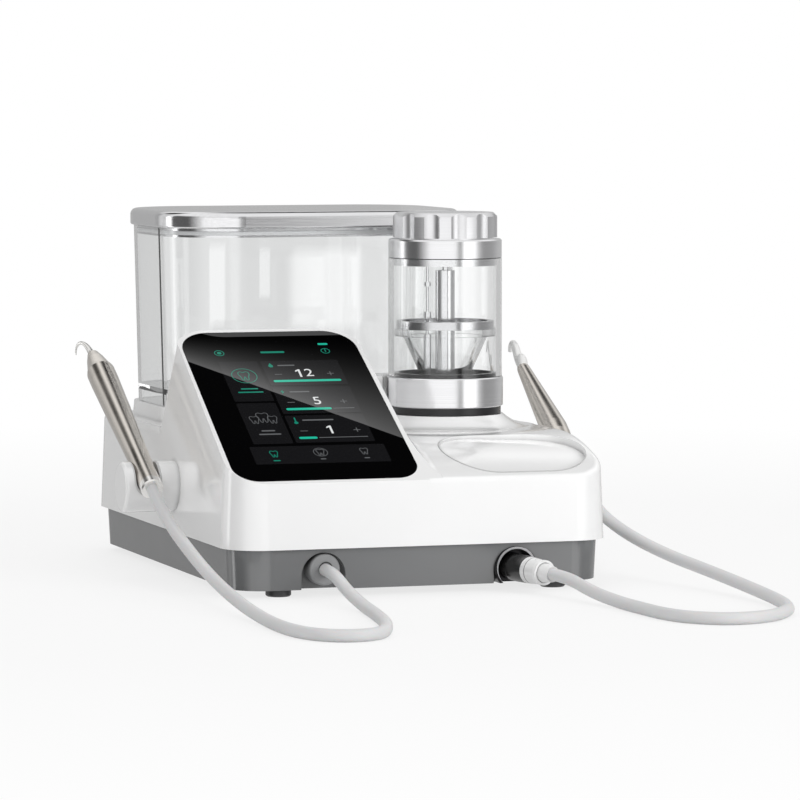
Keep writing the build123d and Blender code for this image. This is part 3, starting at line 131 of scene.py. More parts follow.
def join_rows(shape, rows):
    """Faces between neighbouring closed rows of points."""
    for row, following in zip(rows, rows[1:]):
        for i in range(len(row)):
            j = (i + 1) % len(row)
            shape.faces.new((row[i], row[j], following[j], following[i]))


def make_camera():
    data = bpy.data.cameras.new("camera")
    data.lens = CAMERA_LENS
    data.sensor_width = SENSOR_WIDTH
    camera = add_object("camera", data)
    aim(camera, CAMERA_PLACE, -TOWARDS_CAMERA)
    SCENE.camera = camera


# Node helpers
def new_nodes(owner):
    owner.use_nodes = True
    tree = owner.node_tree
    tree.nodes.clear()
    return tree


def object_coordinates(tree):
    return tree.nodes.new("ShaderNodeTexCoord").outputs["Object"]


def math_node(tree, operation, a, b):
    node = tree.nodes.new("ShaderNodeMath")
    node.operation = operation
    for socket, value in zip(node.inputs, (a, b)):
        if isinstance(value, (int, float)):
            socket.default_value = value
        else:
            tree.links.new(value, socket)
    return node.outputs[0]


def vector_node(tree, operation, vector, second=None):
    """The result of a vector operation: a number for a length or a dot product, or else a vector."""
    node = tree.nodes.new("ShaderNodeVectorMath")
    node.operation = operation
    tree.links.new(vector, node.inputs[0])
    if second is not None:
        node.inputs[1].default_value = second
    return node.outputs["Value" if operation in ("LENGTH", "DOT_PRODUCT") else "Vector"]


def grey(level):
    return (level, level, level, 1)


def ramp_node(tree, factor, stops):
    node = tree.nodes.new("ShaderNodeValToRGB")
    elements = node.color_ramp.elements
    for _ in range(len(stops) - 2):
        elements.new(0.5)
    for element, (place, value) in zip(elements, stops):
        element.position = place
        element.color = grey(value) if isinstance(value, (int, float)) else (*value, 1)
    tree.links.new(factor, node.inputs["Fac"])
    return node.outputs["Color"]


def mix_node(tree, factor, first, second):
    """A mix of two colours, each a socket or a tuple. The node has its colours at inputs 6 and 7."""
    node = tree.nodes.new("ShaderNodeMix")
    node.data_type = "RGBA"
    tree.links.new(factor, node.inputs["Factor"])
    for socket, value in ((node.inputs[6], first), (node.inputs[7], second)):
        if isinstance(value, tuple):
            socket.default_value = value
        else:
            tree.links.new(value, socket)
    return node.outputs[2]


def mix_shaders(tree, factor, first, second):
    node = tree.nodes.new("ShaderNodeMixShader")
    for socket, value in zip(node.inputs, (factor, first, second)):
        tree.links.new(value, socket)
    return node.outputs[0]


def set_surface(tree, shader, kind="Material"):
    output = tree.nodes.new("ShaderNodeOutput" + kind)
    tree.links.new(shader, output.inputs["Surface"])


# Studio: what metal and gloss reflect, by the angle in degrees round the object from the camera
STUDIO_BANDS = [(-180, 0.5), (-150, 0.5), (-132, 0.42), (-122, 0.8), (-106, 0.7), (-102, 2.2), (-96, 2.2),
                (-90, 0.14), (-58, 0.12), (-44, 0.6), (-31, 1.18), (22, 1.22), (29, 0.3), (34, 0.3),
                (39, 1.7), (62, 1.5), (72, 0.6), (84, 0.34), (112, 0.4), (135, 0.55), (180, 0.55)]
# By height, 0 straight down and 1 straight up: the most a band may be, and where the panel overhead and
# the floor take over
BAND_CEILING = [(0.0, 3.0), (0.56, 3.0), (0.6, 0.95), (1.0, 0.95)]
OVERHEAD_SHARE = [(0.0, 0.0), (0.68, 0.0), (0.8, 1.0), (1.0, 1.0)]
FLOOR_SHARE = [(0.0, 1.0), (0.22, 1.0), (0.34, 0.0), (1.0, 0.0)]
OVERHEAD_LEVEL = 1.05
FLOOR_LEVEL = 0.85
# Dark patches of the studio that the screen and the left handpiece mirror
SCREEN_MIRROR = (0.3076, 0.4293, 0.8491)
SCREEN_GAP = [(0.0, 0.0), (0.93, 0.0), (0.985, 1.0), (1.0, 1.0)]
SCREEN_DARK = (0.012, 0.012, 0.013, 1)
HANDLE_MIRROR = (-0.4174, 0.5955, 0.6857)
HANDLE_GAP = [(0.0, 0.0), (0.955, 0.0), (0.992, 1.0), (1.0, 1.0)]
HANDLE_DARK = (0.03, 0.028, 0.026, 1)
# Light of the world on matt surfaces, and what clear plastic shows behind it
AMBIENT = 0.62
THROUGH_GLASS = 0.8


def studio_world():
    world = bpy.data.worlds.new("studio")
    SCENE.world = world
    tree = new_nodes(world)
    direction = tree.nodes.new("ShaderNodeTexCoord").outputs["Generated"]
    rays = tree.nodes.new("ShaderNodeLightPath").outputs

    def towards(aim_at):
        return vector_node(tree, "DOT_PRODUCT", direction, aim_at)

    ahead = (math.sin(CAMERA_AZIMUTH), -math.cos(CAMERA_AZIMUTH), 0)
    turn = math_node(tree, "ARCTAN2", towards(CAMERA_RIGHT), towards(ahead))
    turn = math_node(tree, "ADD", math_node(tree, "DIVIDE", turn, 2 * math.pi), 0.5)
    height = math_node(tree, "ADD", math_node(tree, "MULTIPLY", towards(AXIS_Z), 0.5), 0.5)
    bands = ramp_node(tree, turn, [(angle / 360 + 0.5, value) for angle, value in STUDIO_BANDS])
    glossy = math_node(tree, "MINIMUM", bands, ramp_node(tree, height, BAND_CEILING))
    for factor, stops, level in ((height, OVERHEAD_SHARE, grey(OVERHEAD_LEVEL)),
                                 (height, FLOOR_SHARE, grey(FLOOR_LEVEL)),
                                 (towards(SCREEN_MIRROR), SCREEN_GAP, SCREEN_DARK),
                                 (towards(HANDLE_MIRROR), HANDLE_GAP, HANDLE_DARK)):
        glossy = mix_node(tree, ramp_node(tree, factor, stops), glossy, level)
    colour = mix_node(tree, rays["Is Transmission Ray"], grey(AMBIENT), grey(THROUGH_GLASS))
    colour = mix_node(tree, math_node(tree, "GREATER_THAN", rays["Glossy Depth"], 0.5), colour, glossy)
    colour = mix_node(tree, rays["Is Camera Ray"], colour, grey(1))
    background = tree.nodes.new("ShaderNodeBackground")
    tree.links.new(colour, background.inputs["Color"])
    set_surface(tree, background.outputs[0], "World")


# Lamps: name, place, width and power. A soft key from the right of the front, a weaker fill from the left,
# one above and one behind
LAMPS = [("key", (0.95, -1.7, 0.62), 1.0, 14.2), ("fill", (-1.8, -1.6, 1.0), 1.6, 6.0),
         ("top", (0.1, 0.2, 2.2), 1.6, 8.0), ("back", (0.4, 2.0, 1.3), 1.4, 8.0)]
LAMP_AIM = Vector((0, -0.02, 0.09))


def studio_lamps():
    for name, place, width, power in LAMPS:
        data = bpy.data.lights.new(name, "AREA")
        data.shape = "DISK"
        data.size = width
        data.energy = power
        lamp = add_object(name, data)
        aim(lamp, place, LAMP_AIM - Vector(place))
        for rays in ("glossy", "transmission", "camera"):
            setattr(lamp, "visible_" + rays, False)


# Floor: the camera sees a white glow, mixed near the object with a matt surface that holds its shadow
FLOOR_SIZE = 12.0
FLOOR_TONE = 0.82
NEAR_GLOW = 0.76
SHADOW_NEAR = 0.45
SHADOW_FAR = 1.1


def studio_floor():
    half = FLOOR_SIZE / 2
    mesh = bpy.data.meshes.new("floor")
    mesh.from_pydata([(-half, -half, 0), (half, -half, 0), (half, half, 0), (-half, half, 0)], [],
                     [(0, 1, 2, 3)])
    material = bpy.data.materials.new("floor_pale")
    tree = new_nodes(material)
    rays = tree.nodes.new("ShaderNodeLightPath").outputs
    matt = tree.nodes.new("ShaderNodeBsdfDiffuse")
    matt.inputs["Color"].default_value = grey(FLOOR_TONE)
    glow = tree.nodes.new("ShaderNodeEmission")
    glow.inputs["Color"].default_value = grey(1)
    behind_glass = math_node(tree, "MULTIPLY", rays["Is Transmission Ray"], THROUGH_GLASS)
    strength = math_node(tree, "MAXIMUM", rays["Is Camera Ray"], behind_glass)
    tree.links.new(strength, glow.inputs["Strength"])
    reach = tree.nodes.new("ShaderNodeMapRange")
    for socket, value in (("From Min", SHADOW_NEAR), ("From Max", SHADOW_FAR), ("To Min", NEAR_GLOW),
                          ("To Max", 1.0)):
        reach.inputs[socket].default_value = value
    tree.links.new(vector_node(tree, "LENGTH", object_coordinates(tree)), reach.inputs["Value"])
    through = math_node(tree, "MAXIMUM", rays["Is Camera Ray"], rays["Is Transmission Ray"])
    share = math_node(tree, "MULTIPLY", through, reach.outputs[0])
    blend = mix_shaders(tree, share, matt.outputs[0], glow.outputs[0])
    # A reflection that leaves through clear plastic shows the studio, as one in the open does
    reflected = math_node(tree, "GREATER_THAN", rays["Glossy Depth"], 0.5)
    passed = tree.nodes.new("ShaderNodeBsdfTransparent").outputs[0]
    set_surface(tree, mix_shaders(tree, reflected, blend, passed))
    mesh.materials.append(material)
    floor = add_object("floor", mesh)
    floor.visible_glossy = False


def light_card(name, vertices, shades, columns, rows):
    """A staged sheet of light with a level at each corner of its grid, which the camera doesn't see."""
    wide = columns + 1
    faces = [(r * wide + c, r * wide + c + 1, (r + 1) * wide + c + 1, (r + 1) * wide + c)
             for r in range(rows) for c in range(columns)]
    mesh = bpy.data.meshes.new(name)
    mesh.from_pydata(vertices, [], faces)
    mesh.attributes.new("shade", "FLOAT", "POINT").data.foreach_set("value", shades)
    material = bpy.data.materials.new(name + "_light")
    tree = new_nodes(material)
    level = tree.nodes.new("ShaderNodeAttribute")
    level.attribute_name = "shade"
    glow = tree.nodes.new("ShaderNodeEmission")
    tree.links.new(level.outputs["Fac"], glow.inputs["Strength"])
    set_surface(tree, glow.outputs[0])
    mesh.materials.append(material)
    card = add_object(name, mesh)
    for rays in ("camera", "diffuse", "shadow"):
        setattr(card, "visible_" + rays, False)
    return card


# Reflection card: a tall soft panel behind the camera's mirror image in the screen. Its lower and upper
# edge and its middle are given by the places on the glass that mirror them
CARD_DISTANCE = 1.6
CARD_LOW = ((-125, 139.0), (20, 24.2))
CARD_HIGH = ((-125, 155.0), (20, 147.0))
CARD_MIDDLE = (-52, 77)
CARD_PEAKS = [(0.0, 1.2), (0.2, 1.4), (0.35, 1.6), (0.55, 1.6), (0.8, 1.25), (1.0, 1.0)]
CARD_FADE = 2.3
CARD_COLUMNS = 24
CARD_ROWS = 12


def between(table, x):
    """The value at x on straight lines between the table's points."""
    for (x0, y0), (x1, y1) in zip(table, table[1:]):
        if x <= x1:
            return y0 + (y1 - y0) * (x - x0) / (x1 - x0)
    return table[-1][1]


def reflection_card():
    mirrored = CAMERA_PLACE - 2 * (CAMERA_PLACE - GLASS_FOOT).dot(GLASS_OUT) * GLASS_OUT
    middle = on_glass(*CARD_MIDDLE)
    out = (middle - mirrored).normalized()
    vertices, shades = [], []
    for row in range(CARD_ROWS + 1):
        v = row / CARD_ROWS
        for column in range(CARD_COLUMNS + 1):
            u = column / CARD_COLUMNS
            low = Vector(CARD_LOW[0]).lerp(Vector(CARD_LOW[1]), u)
            high = Vector(CARD_HIGH[0]).lerp(Vector(CARD_HIGH[1]), u)
            spot = on_glass(*low.lerp(high, v))
            ray = (spot - mirrored).normalized()
            reach = (middle + out * CARD_DISTANCE - spot).dot(out) / ray.dot(out)
            vertices.append(spot + ray * reach)
            shades.append(between(CARD_PEAKS, u) * (1 - v) ** CARD_FADE)
    card = light_card("reflection_card", vertices, shades, CARD_COLUMNS, CARD_ROWS)
    card.visible_transmission = False


# Soft windows that only clear plastic shows, behind the object: left, top, right, bottom in the picture
WINDOWS = [(286, 244, 364, 332), (258, 246, 270, 300), (287, 340, 362, 420), (390, 190, 700, 440),
           (196, 240, 226, 330)]
WINDOW_DEPTH = 4.0
WINDOW_LEVEL = 0.97
WINDOW_GRID = 8


def windows():
    up = TOWARDS_CAMERA.cross(CAMERA_RIGHT)
    focal = CAMERA_LENS / SENSOR_WIDTH * PHOTO_SIZE
    centre = PHOTO_SIZE / 2
    for index, (left, top, right, low) in enumerate(WINDOWS):
        vertices, shades = [], []
        for row in range(WINDOW_GRID + 1):
            for column in range(WINDOW_GRID + 1):
                x = left + (right - left) * column / WINDOW_GRID
                y = low + (top - low) * row / WINDOW_GRID
                ray = CAMERA_RIGHT * (x - centre) / focal + up * (centre - y) / focal - TOWARDS_CAMERA
                vertices.append(CAMERA_PLACE + ray * WINDOW_DEPTH)
                edge = min(row, column, WINDOW_GRID - row, WINDOW_GRID - column)
                shades.append(THROUGH_GLASS if edge == 0 else WINDOW_LEVEL)
        card = light_card("soft_window_" + str(index + 1), vertices, shades, WINDOW_GRID, WINDOW_GRID)
        card.visible_glossy = False


# Materials. Noise scales are per metre, depths in metres and gloss spans in shares of the roughness
NOISE_LOW = 0.3
NOISE_HIGH = 0.7
TONE_SCALE = 22.0
GLOSS_SCALE = 60.0
MOULDED_GLOSS = (0.88, 1.12)
GRAIN_DETAIL = 4.0
GRAIN_STRENGTH = 0.35
METAL_GLOSS_SCALE = 40.0
METAL_GLOSS = (0.85, 1.2)
BRUSHED_SCALE = 900.0
BRUSHED_SPREAD = 0.05
TURNED_SPREAD = 0.045
HAIR_DETAIL = 5.0
HAIR_ROUGH = 0.6
HAIR_STRENGTH = 0.25
HAIR_DEPTH = 0.00004
SLENDER_DETAIL = 1.0
SLENDER_STRENGTH = 0.1
WAVE_SCALE = 9.0
WAVE_STRENGTH = 0.12
WAVE_DEPTH = 0.0004
SCREEN_SCALE = 1400.0
SCREEN_UNLIT = (0.004, 0.004, 0.004)
# Reach and samples of the painted crease shade, which darkens the colour where surfaces come close
CREASE_SHADE_DEPTH = 0.0035
CREASE_SHADE_SAMPLES = 6
# Cosine above which a face points in one of the flat directions
FLAT_COSINE = 0.99995


def surface(name, colour, roughness, **sockets):
    material = bpy.data.materials.new(name)
    tree = new_nodes(material)
    shader = tree.nodes.new("ShaderNodeBsdfPrincipled")
    shader.inputs["Base Color"].default_value = (*colour, 1)
    shader.inputs["Roughness"].default_value = roughness
    for socket, value in sockets.items():
        shader.inputs[socket.replace("_", " ")].default_value = value
    set_surface(tree, shader.outputs[0])
    return material, tree, shader


def noise(tree, vector, scale, detail=3.0, rough=0.5):
    node = tree.nodes.new("ShaderNodeTexNoise")
    node.inputs["Scale"].default_value = scale
    node.inputs["Detail"].default_value = detail
    node.inputs["Roughness"].default_value = rough
    tree.links.new(vector, node.inputs["Vector"])
    return node.outputs["Fac"]


def add_bump(tree, shader, height, strength, distance, before=None):
    node = tree.nodes.new("ShaderNodeBump")
    node.inputs["Strength"].default_value = strength
    node.inputs["Distance"].default_value = distance
    tree.links.new(height, node.inputs["Height"])
    if before is not None:
        tree.links.new(before, node.inputs["Normal"])
    tree.links.new(node.outputs[0], shader.inputs["Normal"])


def vary_colour(tree, shader, colour, factor, spread):
    dark = tuple(c * (1 - spread) for c in colour)
    light = tuple(min(1.0, c * (1 + spread)) for c in colour)
    varied = ramp_node(tree, factor, [(NOISE_LOW, dark), (NOISE_HIGH, light)])
    tree.links.new(varied, shader.inputs["Base Color"])
    return varied


def vary_roughness(tree, shader, factor, roughness, span):
    stops = [(NOISE_LOW, roughness * span[0]), (NOISE_HIGH, roughness * span[1])]
    tree.links.new(ramp_node(tree, factor, stops), shader.inputs["Roughness"])


def level_faces(tree, directions):
    """The smooth normal, held exactly flat on flat faces that face one of the directions."""
    shape = tree.nodes.new("ShaderNodeNewGeometry").outputs
    flat = 0.0
    for direction in directions:
        facing = vector_node(tree, "DOT_PRODUCT", shape["True Normal"], direction)
        flat = math_node(tree, "MAXIMUM", math_node(tree, "GREATER_THAN", facing, FLAT_COSINE), flat)
    blend = tree.nodes.new("ShaderNodeMix")
    blend.data_type = "VECTOR"
    tree.links.new(flat, blend.inputs[0])
    tree.links.new(shape["Normal"], blend.inputs[4])
    tree.links.new(shape["True Normal"], blend.inputs[5])
    return blend.outputs[1]


def paint_crease_shade(tree, shader, colour, varied, shade):
    """Painted shade: darkens the colour by ambient occlusion in narrow gaps, inner edges and where pieces
    meet.
    """
    open_air = tree.nodes.new("ShaderNodeAmbientOcclusion")
    open_air.samples = CREASE_SHADE_SAMPLES
    open_air.inputs["Distance"].default_value = CREASE_SHADE_DEPTH
    openness = ramp_node(tree, open_air.outputs["AO"], [(0.3, 0.0), (0.85, 1.0)])
    shaded = mix_node(tree, openness, (*(c * shade for c in colour), 1), varied)
    tree.links.new(shaded, shader.inputs["Base Color"])


def moulded(name, colour, roughness, grain, depth, spread, flats=(), crease_shade=1.0, **sockets):
    """Moulded plastic or rubber: a grain of the given scale and depth, a tone that varies by the spread
    and a slightly uneven gloss. A crease shade below 1 is the tone of painted shade in narrow gaps."""
    material, tree, shader = surface(name, colour, roughness, **sockets)
    place = object_coordinates(tree)
    varied = vary_colour(tree, shader, colour, noise(tree, place, TONE_SCALE), spread)
    if crease_shade < 1:
        paint_crease_shade(tree, shader, colour, varied, crease_shade)
    vary_roughness(tree, shader, noise(tree, place, GLOSS_SCALE), roughness, MOULDED_GLOSS)
    level = level_faces(tree, flats) if flats else None
    add_bump(tree, shader, noise(tree, place, grain, GRAIN_DETAIL), GRAIN_STRENGTH, depth, level)
    return material


def turned_metal(name, colour, roughness, centre, axis=AXIS_Z, lines=2600.0, black=None, slender=False):
    """Turned metal: hairlines run round the axis through the centre. black gives a mask where the colour
    turns black, which in the port is painted shade. A slender piece has them by height alone, and finer."""
    material, tree, shader = surface(name, colour, roughness, Metallic=1.0)
    place = object_coordinates(tree)
    moved = vector_node(tree, "SUBTRACT", place, centre)
    height = vector_node(tree, "DOT_PRODUCT", moved, axis)
    radius = vector_node(tree, "LENGTH", vector_node(tree, "CROSS_PRODUCT", moved, axis))
    rings = tree.nodes.new("ShaderNodeCombineXYZ")
    tree.links.new(height, rings.inputs[0])
    if not slender:
        tree.links.new(radius, rings.inputs[1])
    hair = noise(tree, rings.outputs[0], lines, SLENDER_DETAIL if slender else HAIR_DETAIL, HAIR_ROUGH)
    varied = vary_colour(tree, shader, colour, hair, TURNED_SPREAD)
    if black is not None:
        inlaid = mix_node(tree, black(tree, height, radius), varied, SHADE_AND_SEAT_BLACK)
        tree.links.new(inlaid, shader.inputs["Base Color"])
    vary_roughness(tree, shader, noise(tree, place, METAL_GLOSS_SCALE), roughness, METAL_GLOSS)
    add_bump(tree, shader, hair, SLENDER_STRENGTH if slender else HAIR_STRENGTH, HAIR_DEPTH)
    return material


def brushed_metal(name, colour, roughness, stretch):
    """Brushed metal: hairlines run along the axis whose stretch is small."""
    material, tree, shader = surface(name, colour, roughness, Metallic=1.0)
    scaled = vector_node(tree, "MULTIPLY", object_coordinates(tree), stretch)
    hair = noise(tree, scaled, BRUSHED_SCALE, HAIR_DETAIL, HAIR_ROUGH)
    vary_colour(tree, shader, colour, hair, BRUSHED_SPREAD)
    vary_roughness(tree, shader, hair, roughness, METAL_GLOSS)
    add_bump(tree, shader, hair, HAIR_STRENGTH, HAIR_DEPTH)
    return material


# Black areas of turned metal: where the seat in the chamber's foot begins and its radius, and the inner
# # and outer radius of the port's bright lip, inside and outside which the port has painted shade, in
# metres
SHADE_AND_SEAT_BLACK = (0.02, 0.02, 0.021, 1)
SEAT_HEIGHT = 0.1098
SEAT_RADIUS = 0.0322
LIP_INNER = 0.0102
LIP_OUTER = 0.0114


def seat_black(tree, height, radius):
    """Black over the floor of the chamber's foot, above the seat's height and inside its radius."""
    above = math_node(tree, "GREATER_THAN", height, SEAT_HEIGHT)
    return math_node(tree, "MULTIPLY", above, math_node(tree, "LESS_THAN", radius, SEAT_RADIUS))


def port_gap_shade(tree, _height, radius):
    """Painted shade: black inside and outside the bright lip of the port, for its shaded hollow and the gap
    round the lip.
    """
    inner = math_node(tree, "LESS_THAN", radius, LIP_INNER)
    return math_node(tree, "MAXIMUM", inner, math_node(tree, "GREATER_THAN", radius, LIP_OUTER))


# Plug: where it leaves its socket and which way it points. Its black rear part and a thin grey line, each
# from and to a distance from there, and its tone. In millimetres
PLUG_START = Vector((53.4, -150.0, 12.7))
PLUG_DIRECTION = Vector((9.4, -30.5, -1.0)).normalized()
PLUG_BANDS = [(-20.0, 11.4, 0.014), (14.6, 15.2, 0.25)]


def band_plug(material):
    """Adds the plug's dark bands to its material."""
    tree = material.node_tree
    shader = next(node for node in tree.nodes if node.type == "BSDF_PRINCIPLED")
    colour = shader.inputs["Base Color"].links[0].from_socket
    moved = vector_node(tree, "SUBTRACT", object_coordinates(tree), PLUG_START * MM)
    along = vector_node(tree, "DOT_PRODUCT", moved, PLUG_DIRECTION)
    for low, high, tone in PLUG_BANDS:
        inside = math_node(tree, "MULTIPLY", math_node(tree, "GREATER_THAN", along, low * MM),
                           math_node(tree, "LESS_THAN", along, high * MM))
        colour = mix_node(tree, inside, colour, grey(tone))
    tree.links.new(colour, shader.inputs["Base Color"])


def clear_plastic(name, tint, roughness):
    """Clear plastic or glass with faint waves."""
    material, tree, shader = surface(name, tint, roughness, Transmission_Weight=1.0, IOR=1.49)
    waves = noise(tree, object_coordinates(tree), WAVE_SCALE, 1.0)
    add_bump(tree, shader, waves, WAVE_STRENGTH, WAVE_DEPTH)
    return material


def black_gloss(name, colour, spread):
    """Smooth dark glass or film, a little uneven in tone."""
    material, tree, shader = surface(name, colour, 0.0, IOR=1.5)
    vary_colour(tree, shader, colour, noise(tree, object_coordinates(tree), SCREEN_SCALE), spread)
    return material


def glowing(name, colour):
    """A lit mark on the screen, with the display's fine unevenness."""
    material, tree, shader = surface(name, SCREEN_UNLIT, 0.04, Emission_Strength=1.0)
    shader.inputs["Emission Color"].default_value = (*colour, 1)
    pixels = noise(tree, object_coordinates(tree), SCREEN_SCALE, 2.0)
    dark = tuple(c * 0.9 for c in colour)
    tree.links.new(ramp_node(tree, pixels, [(0.35, dark), (0.65, colour)]), shader.inputs["Emission Color"])
    return material


def paint(material, *names):
    for name in names:
        materials = NODES[name].data.materials
        if not materials:
            materials.append(material)
        for index in range(len(materials)):
            materials[index] = material


# Directions in which the shell's large flat faces point
HOUSING_FLATS = ((0, 0, 1), (0, 0, -1), (0, -0.4924, 0.8704), (0, 0.853, 0.5219))
ALUMINIUM = (0.78, 0.78, 0.79)
STEEL = (0.74, 0.74, 0.75)
PLATED = (0.76, 0.76, 0.77)
WARM_METAL = (0.69, 0.65, 0.6)
CLEAR_PIECES = ("tank_shell", "chamber_glass", "funnel")


def dress_frame():
    # Mouldings and rubber: colour, roughness, grain's scale and depth, spread of the tone, and for some the
    # flat faces and painted crease shade
    paint(moulded("white_gloss", (0.9, 0.9, 0.9), 0.16, 1500.0, 0.00001, 0.008, HOUSING_FLATS, 0.5,
                  Coat_Weight=1.0, Coat_Roughness=0.09), "upper_housing", "left_holder", "right_holder")
    paint(moulded("grey_satin", (0.145, 0.148, 0.151), 0.13, 2600.0, 0.00001, 0.03, crease_shade=0.5, IOR=1.75),
          "base_tray")
    paint(moulded("dark_rubber", (0.04, 0.04, 0.042), 0.4, 1800.0, 0.00004, 0.05), "feet", "cap_seal")
    paint(moulded("seal_rubber", (0.008, 0.008, 0.009), 0.3, 1800.0, 0.00001, 0.05), "chamber_seal")
    paint(moulded("gland_rubber", (0.26, 0.263, 0.267), 0.42, 1800.0, 0.00003, 0.03, crease_shade=0.4),
          "left_gland")
    paint(moulded("black_moulding", (0.022, 0.022, 0.024), 0.4, 2200.0, 0.00003, 0.05), "mains_inlet",
          "fuse_drawer", "power_switch", "tank_socket", "dock_socket", "display_module", "pump_body")
    paint(moulded("rocker_black", (0.02, 0.02, 0.022), 0.22, 1800.0, 0.00002, 0.05), "power_rocker")
    paint(moulded("panel_grey", (0.10, 0.102, 0.105), 0.42, 2400.0, 0.00003, 0.04, crease_shade=0.5),
          "rear_panel")
    paint(moulded("board_green", (0.02, 0.13, 0.06), 0.35, 900.0, 0.00003, 0.12), "main_board")
    paint(moulded("rotor_plastic", (0.8, 0.79, 0.74), 0.3, 1200.0, 0.00003, 0.03), "pump_rotor")
    paint(moulded("liner_silicone", (0.62, 0.62, 0.62), 0.4, 1500.0, 0.00003, 0.03), "left_liner",
          "right_liner")
    paint(moulded("seal_silicone", (0.72, 0.73, 0.74), 0.35, 1500.0, 0.00003, 0.02), "lid_seal",
          "tank_outlet")
    paint(moulded("plug_edge", (0.86, 0.86, 0.86), 0.22, 1500.0, 0.00002, 0.01), "right_plug_ring")
    paint(moulded("nozzle_metal", (0.84, 0.84, 0.83), 0.32, 1500.0, 0.00002, 0.03, Metallic=0.3),
          "polisher_nozzle")
    plug = moulded("plug_white", (0.8, 0.8, 0.8), 0.26, 1500.0, 0.00002, 0.01, crease_shade=0.45)
    band_plug(plug)
    paint(plug, "right_plug")

    # Metal of the shell, the tank and the chamber
    paint(brushed_metal("folded_sheet", (0.62, 0.63, 0.64), 0.36, (0.05, 1, 1)), "power_supply",
          "water_heater", "air_valve")
    paint(brushed_metal("lid_aluminium", STEEL, 0.12, (0.03, 1, 1)), "tank_lid")
    paint(turned_metal("screw_steel", (0.55, 0.55, 0.56), 0.3, (0, 0, 0)), "case_screws", "board_screws",
          "panel_screws")
    paint(turned_metal("turned_aluminium", ALUMINIUM, 0.19, CHAMBER_AXIS), "chamber_collar")
    paint(turned_metal("knurled_aluminium", ALUMINIUM, 0.34, CHAMBER_AXIS), "chamber_cap")
    paint(turned_metal("seated_aluminium", ALUMINIUM, 0.19, CHAMBER_AXIS, black=seat_black), "chamber_base")
    paint(turned_metal("polished_ring", (0.66, 0.66, 0.67), 0.16, CHAMBER_AXIS), "mid_ring")
    paint(turned_metal("tube_steel", STEEL, 0.13, CHAMBER_AXIS, lines=1800.0), "center_tube", "center_pin",
          "pickup_tube", "suction_tube")
    # The port's lip, with painted shade in black inside and outside it
    paint(turned_metal("port_chrome", (0.42, 0.42, 0.43), 0.16, PORT_AXIS, AXIS_Y, black=port_gap_shade),
          "right_socket")
    paint(turned_metal("bright_fitting", PLATED, 0.12, AIR_AXIS, AXIS_Y), "air_inlet")
    paint(turned_metal("bright_connector", PLATED, 0.14, PEDAL_AXIS, AXIS_Y), "pedal_socket")

    # Handpieces
    for name, colour, roughness, tail, angle, nodes in (
            ("scaler_metal", WARM_METAL, 0.2, SCALER_TAIL, SCALER_ANGLE, ("scaler_body", "scaler_nose")),
            ("polisher_metal", WARM_METAL, 0.24, POLISH_TAIL, POLISH_ANGLE, ("polisher_body",)),
            ("tail_metal", (0.8, 0.79, 0.77), 0.22, SCALER_TAIL, SCALER_ANGLE,
             ("scaler_tail", "polisher_tail")),
            ("tip_metal", (0.72, 0.71, 0.69), 0.2, SCALER_TAIL, SCALER_ANGLE, ("scaler_tip",))):
        paint(turned_metal(name, colour, roughness, tail, hand_axis(angle), slender=True), *nodes)

    # Clear pieces and the screen
    paint(clear_plastic("fuse_glass", (0.95, 0.96, 0.96), 0.02), "fuses")
    paint(clear_plastic("clear_tank", (0.975, 0.98, 0.98), 0.0), "tank_shell")
    paint(clear_plastic("clear_chamber", (0.99, 0.994, 0.994), 0.0), "chamber_glass", "funnel")
    paint(black_gloss("black_glass", (0.0008, 0.0008, 0.0009), 0.2), "screen_glass")
    for name in CLEAR_PIECES:
        NODES[name].visible_shadow = False
        NODES[name].visible_diffuse = False
    for name in ("chamber_cap", "chamber_collar"):
        NODES[name].visible_glossy = False


# Screen picture: flat closed plates just above the glass, in glass coordinates in millimetres
PLATE_THICK = 0.03
LIFT_CARD = 0.02
LIFT_MARK = 0.06
CIRCLE_POINTS = 32
CORNER_STEPS = 5
CURVE_STEPS = 5


class Picture:
    """Collects plates of one colour and makes them one piece on the glass."""

    def __init__(self, lift):
        self.shape = bmesh.new()
        self.lift = lift

    def put(self, *loops):
        """A plate with one outer loop, or a ring with an outer and an inner loop of equal counts."""
        low, top = ([[self.shape.verts.new(on_glass(x, s, height)) for x, s in loop] for loop in loops]
                    for height in (self.lift, self.lift + PLATE_THICK))
        count = len(top[0])
        if len(loops) == 1:
            self.shape.faces.new(top[0])
            self.shape.faces.new(low[0][::-1])
        else:
            for i in range(count):
                j = (i + 1) % count
                self.shape.faces.new((top[0][i], top[0][j], top[1][j], top[1][i]))
                self.shape.faces.new((low[0][j], low[0][i], low[1][i], low[1][j]))
        for k, (upper, lower) in enumerate(zip(top, low)):
            for i in range(count):
                j = (i + 1) % count
                side = (upper[j], upper[i], lower[i], lower[j])
                self.shape.faces.new(side if k == 0 else side[::-1])

    def bar(self, x0, x1, s0, s1, radius=0.0):
        self.put(rounded(x0, x1, s0, s1, radius))

    def disc(self, x, s, radius):
        self.put(circle(x, s, radius))

    def ring(self, x, s, radius, width):
        self.put(circle(x, s, radius), circle(x, s, radius - width))

    def tooth(self, x, s, size, width):
        points = placed(smooth(TOOTH), x, s, size)
        self.put(offset(points, width / 2), offset(points, -width / 2))

    def piece(self, name, material):
        add_piece(name, shape_data(name, self.shape, False), material, "base")


def circle(x, s, radius):
    turns = (2 * math.pi * i / CIRCLE_POINTS for i in range(CIRCLE_POINTS))
    return [(x + radius * math.cos(turn), s + radius * math.sin(turn)) for turn in turns]


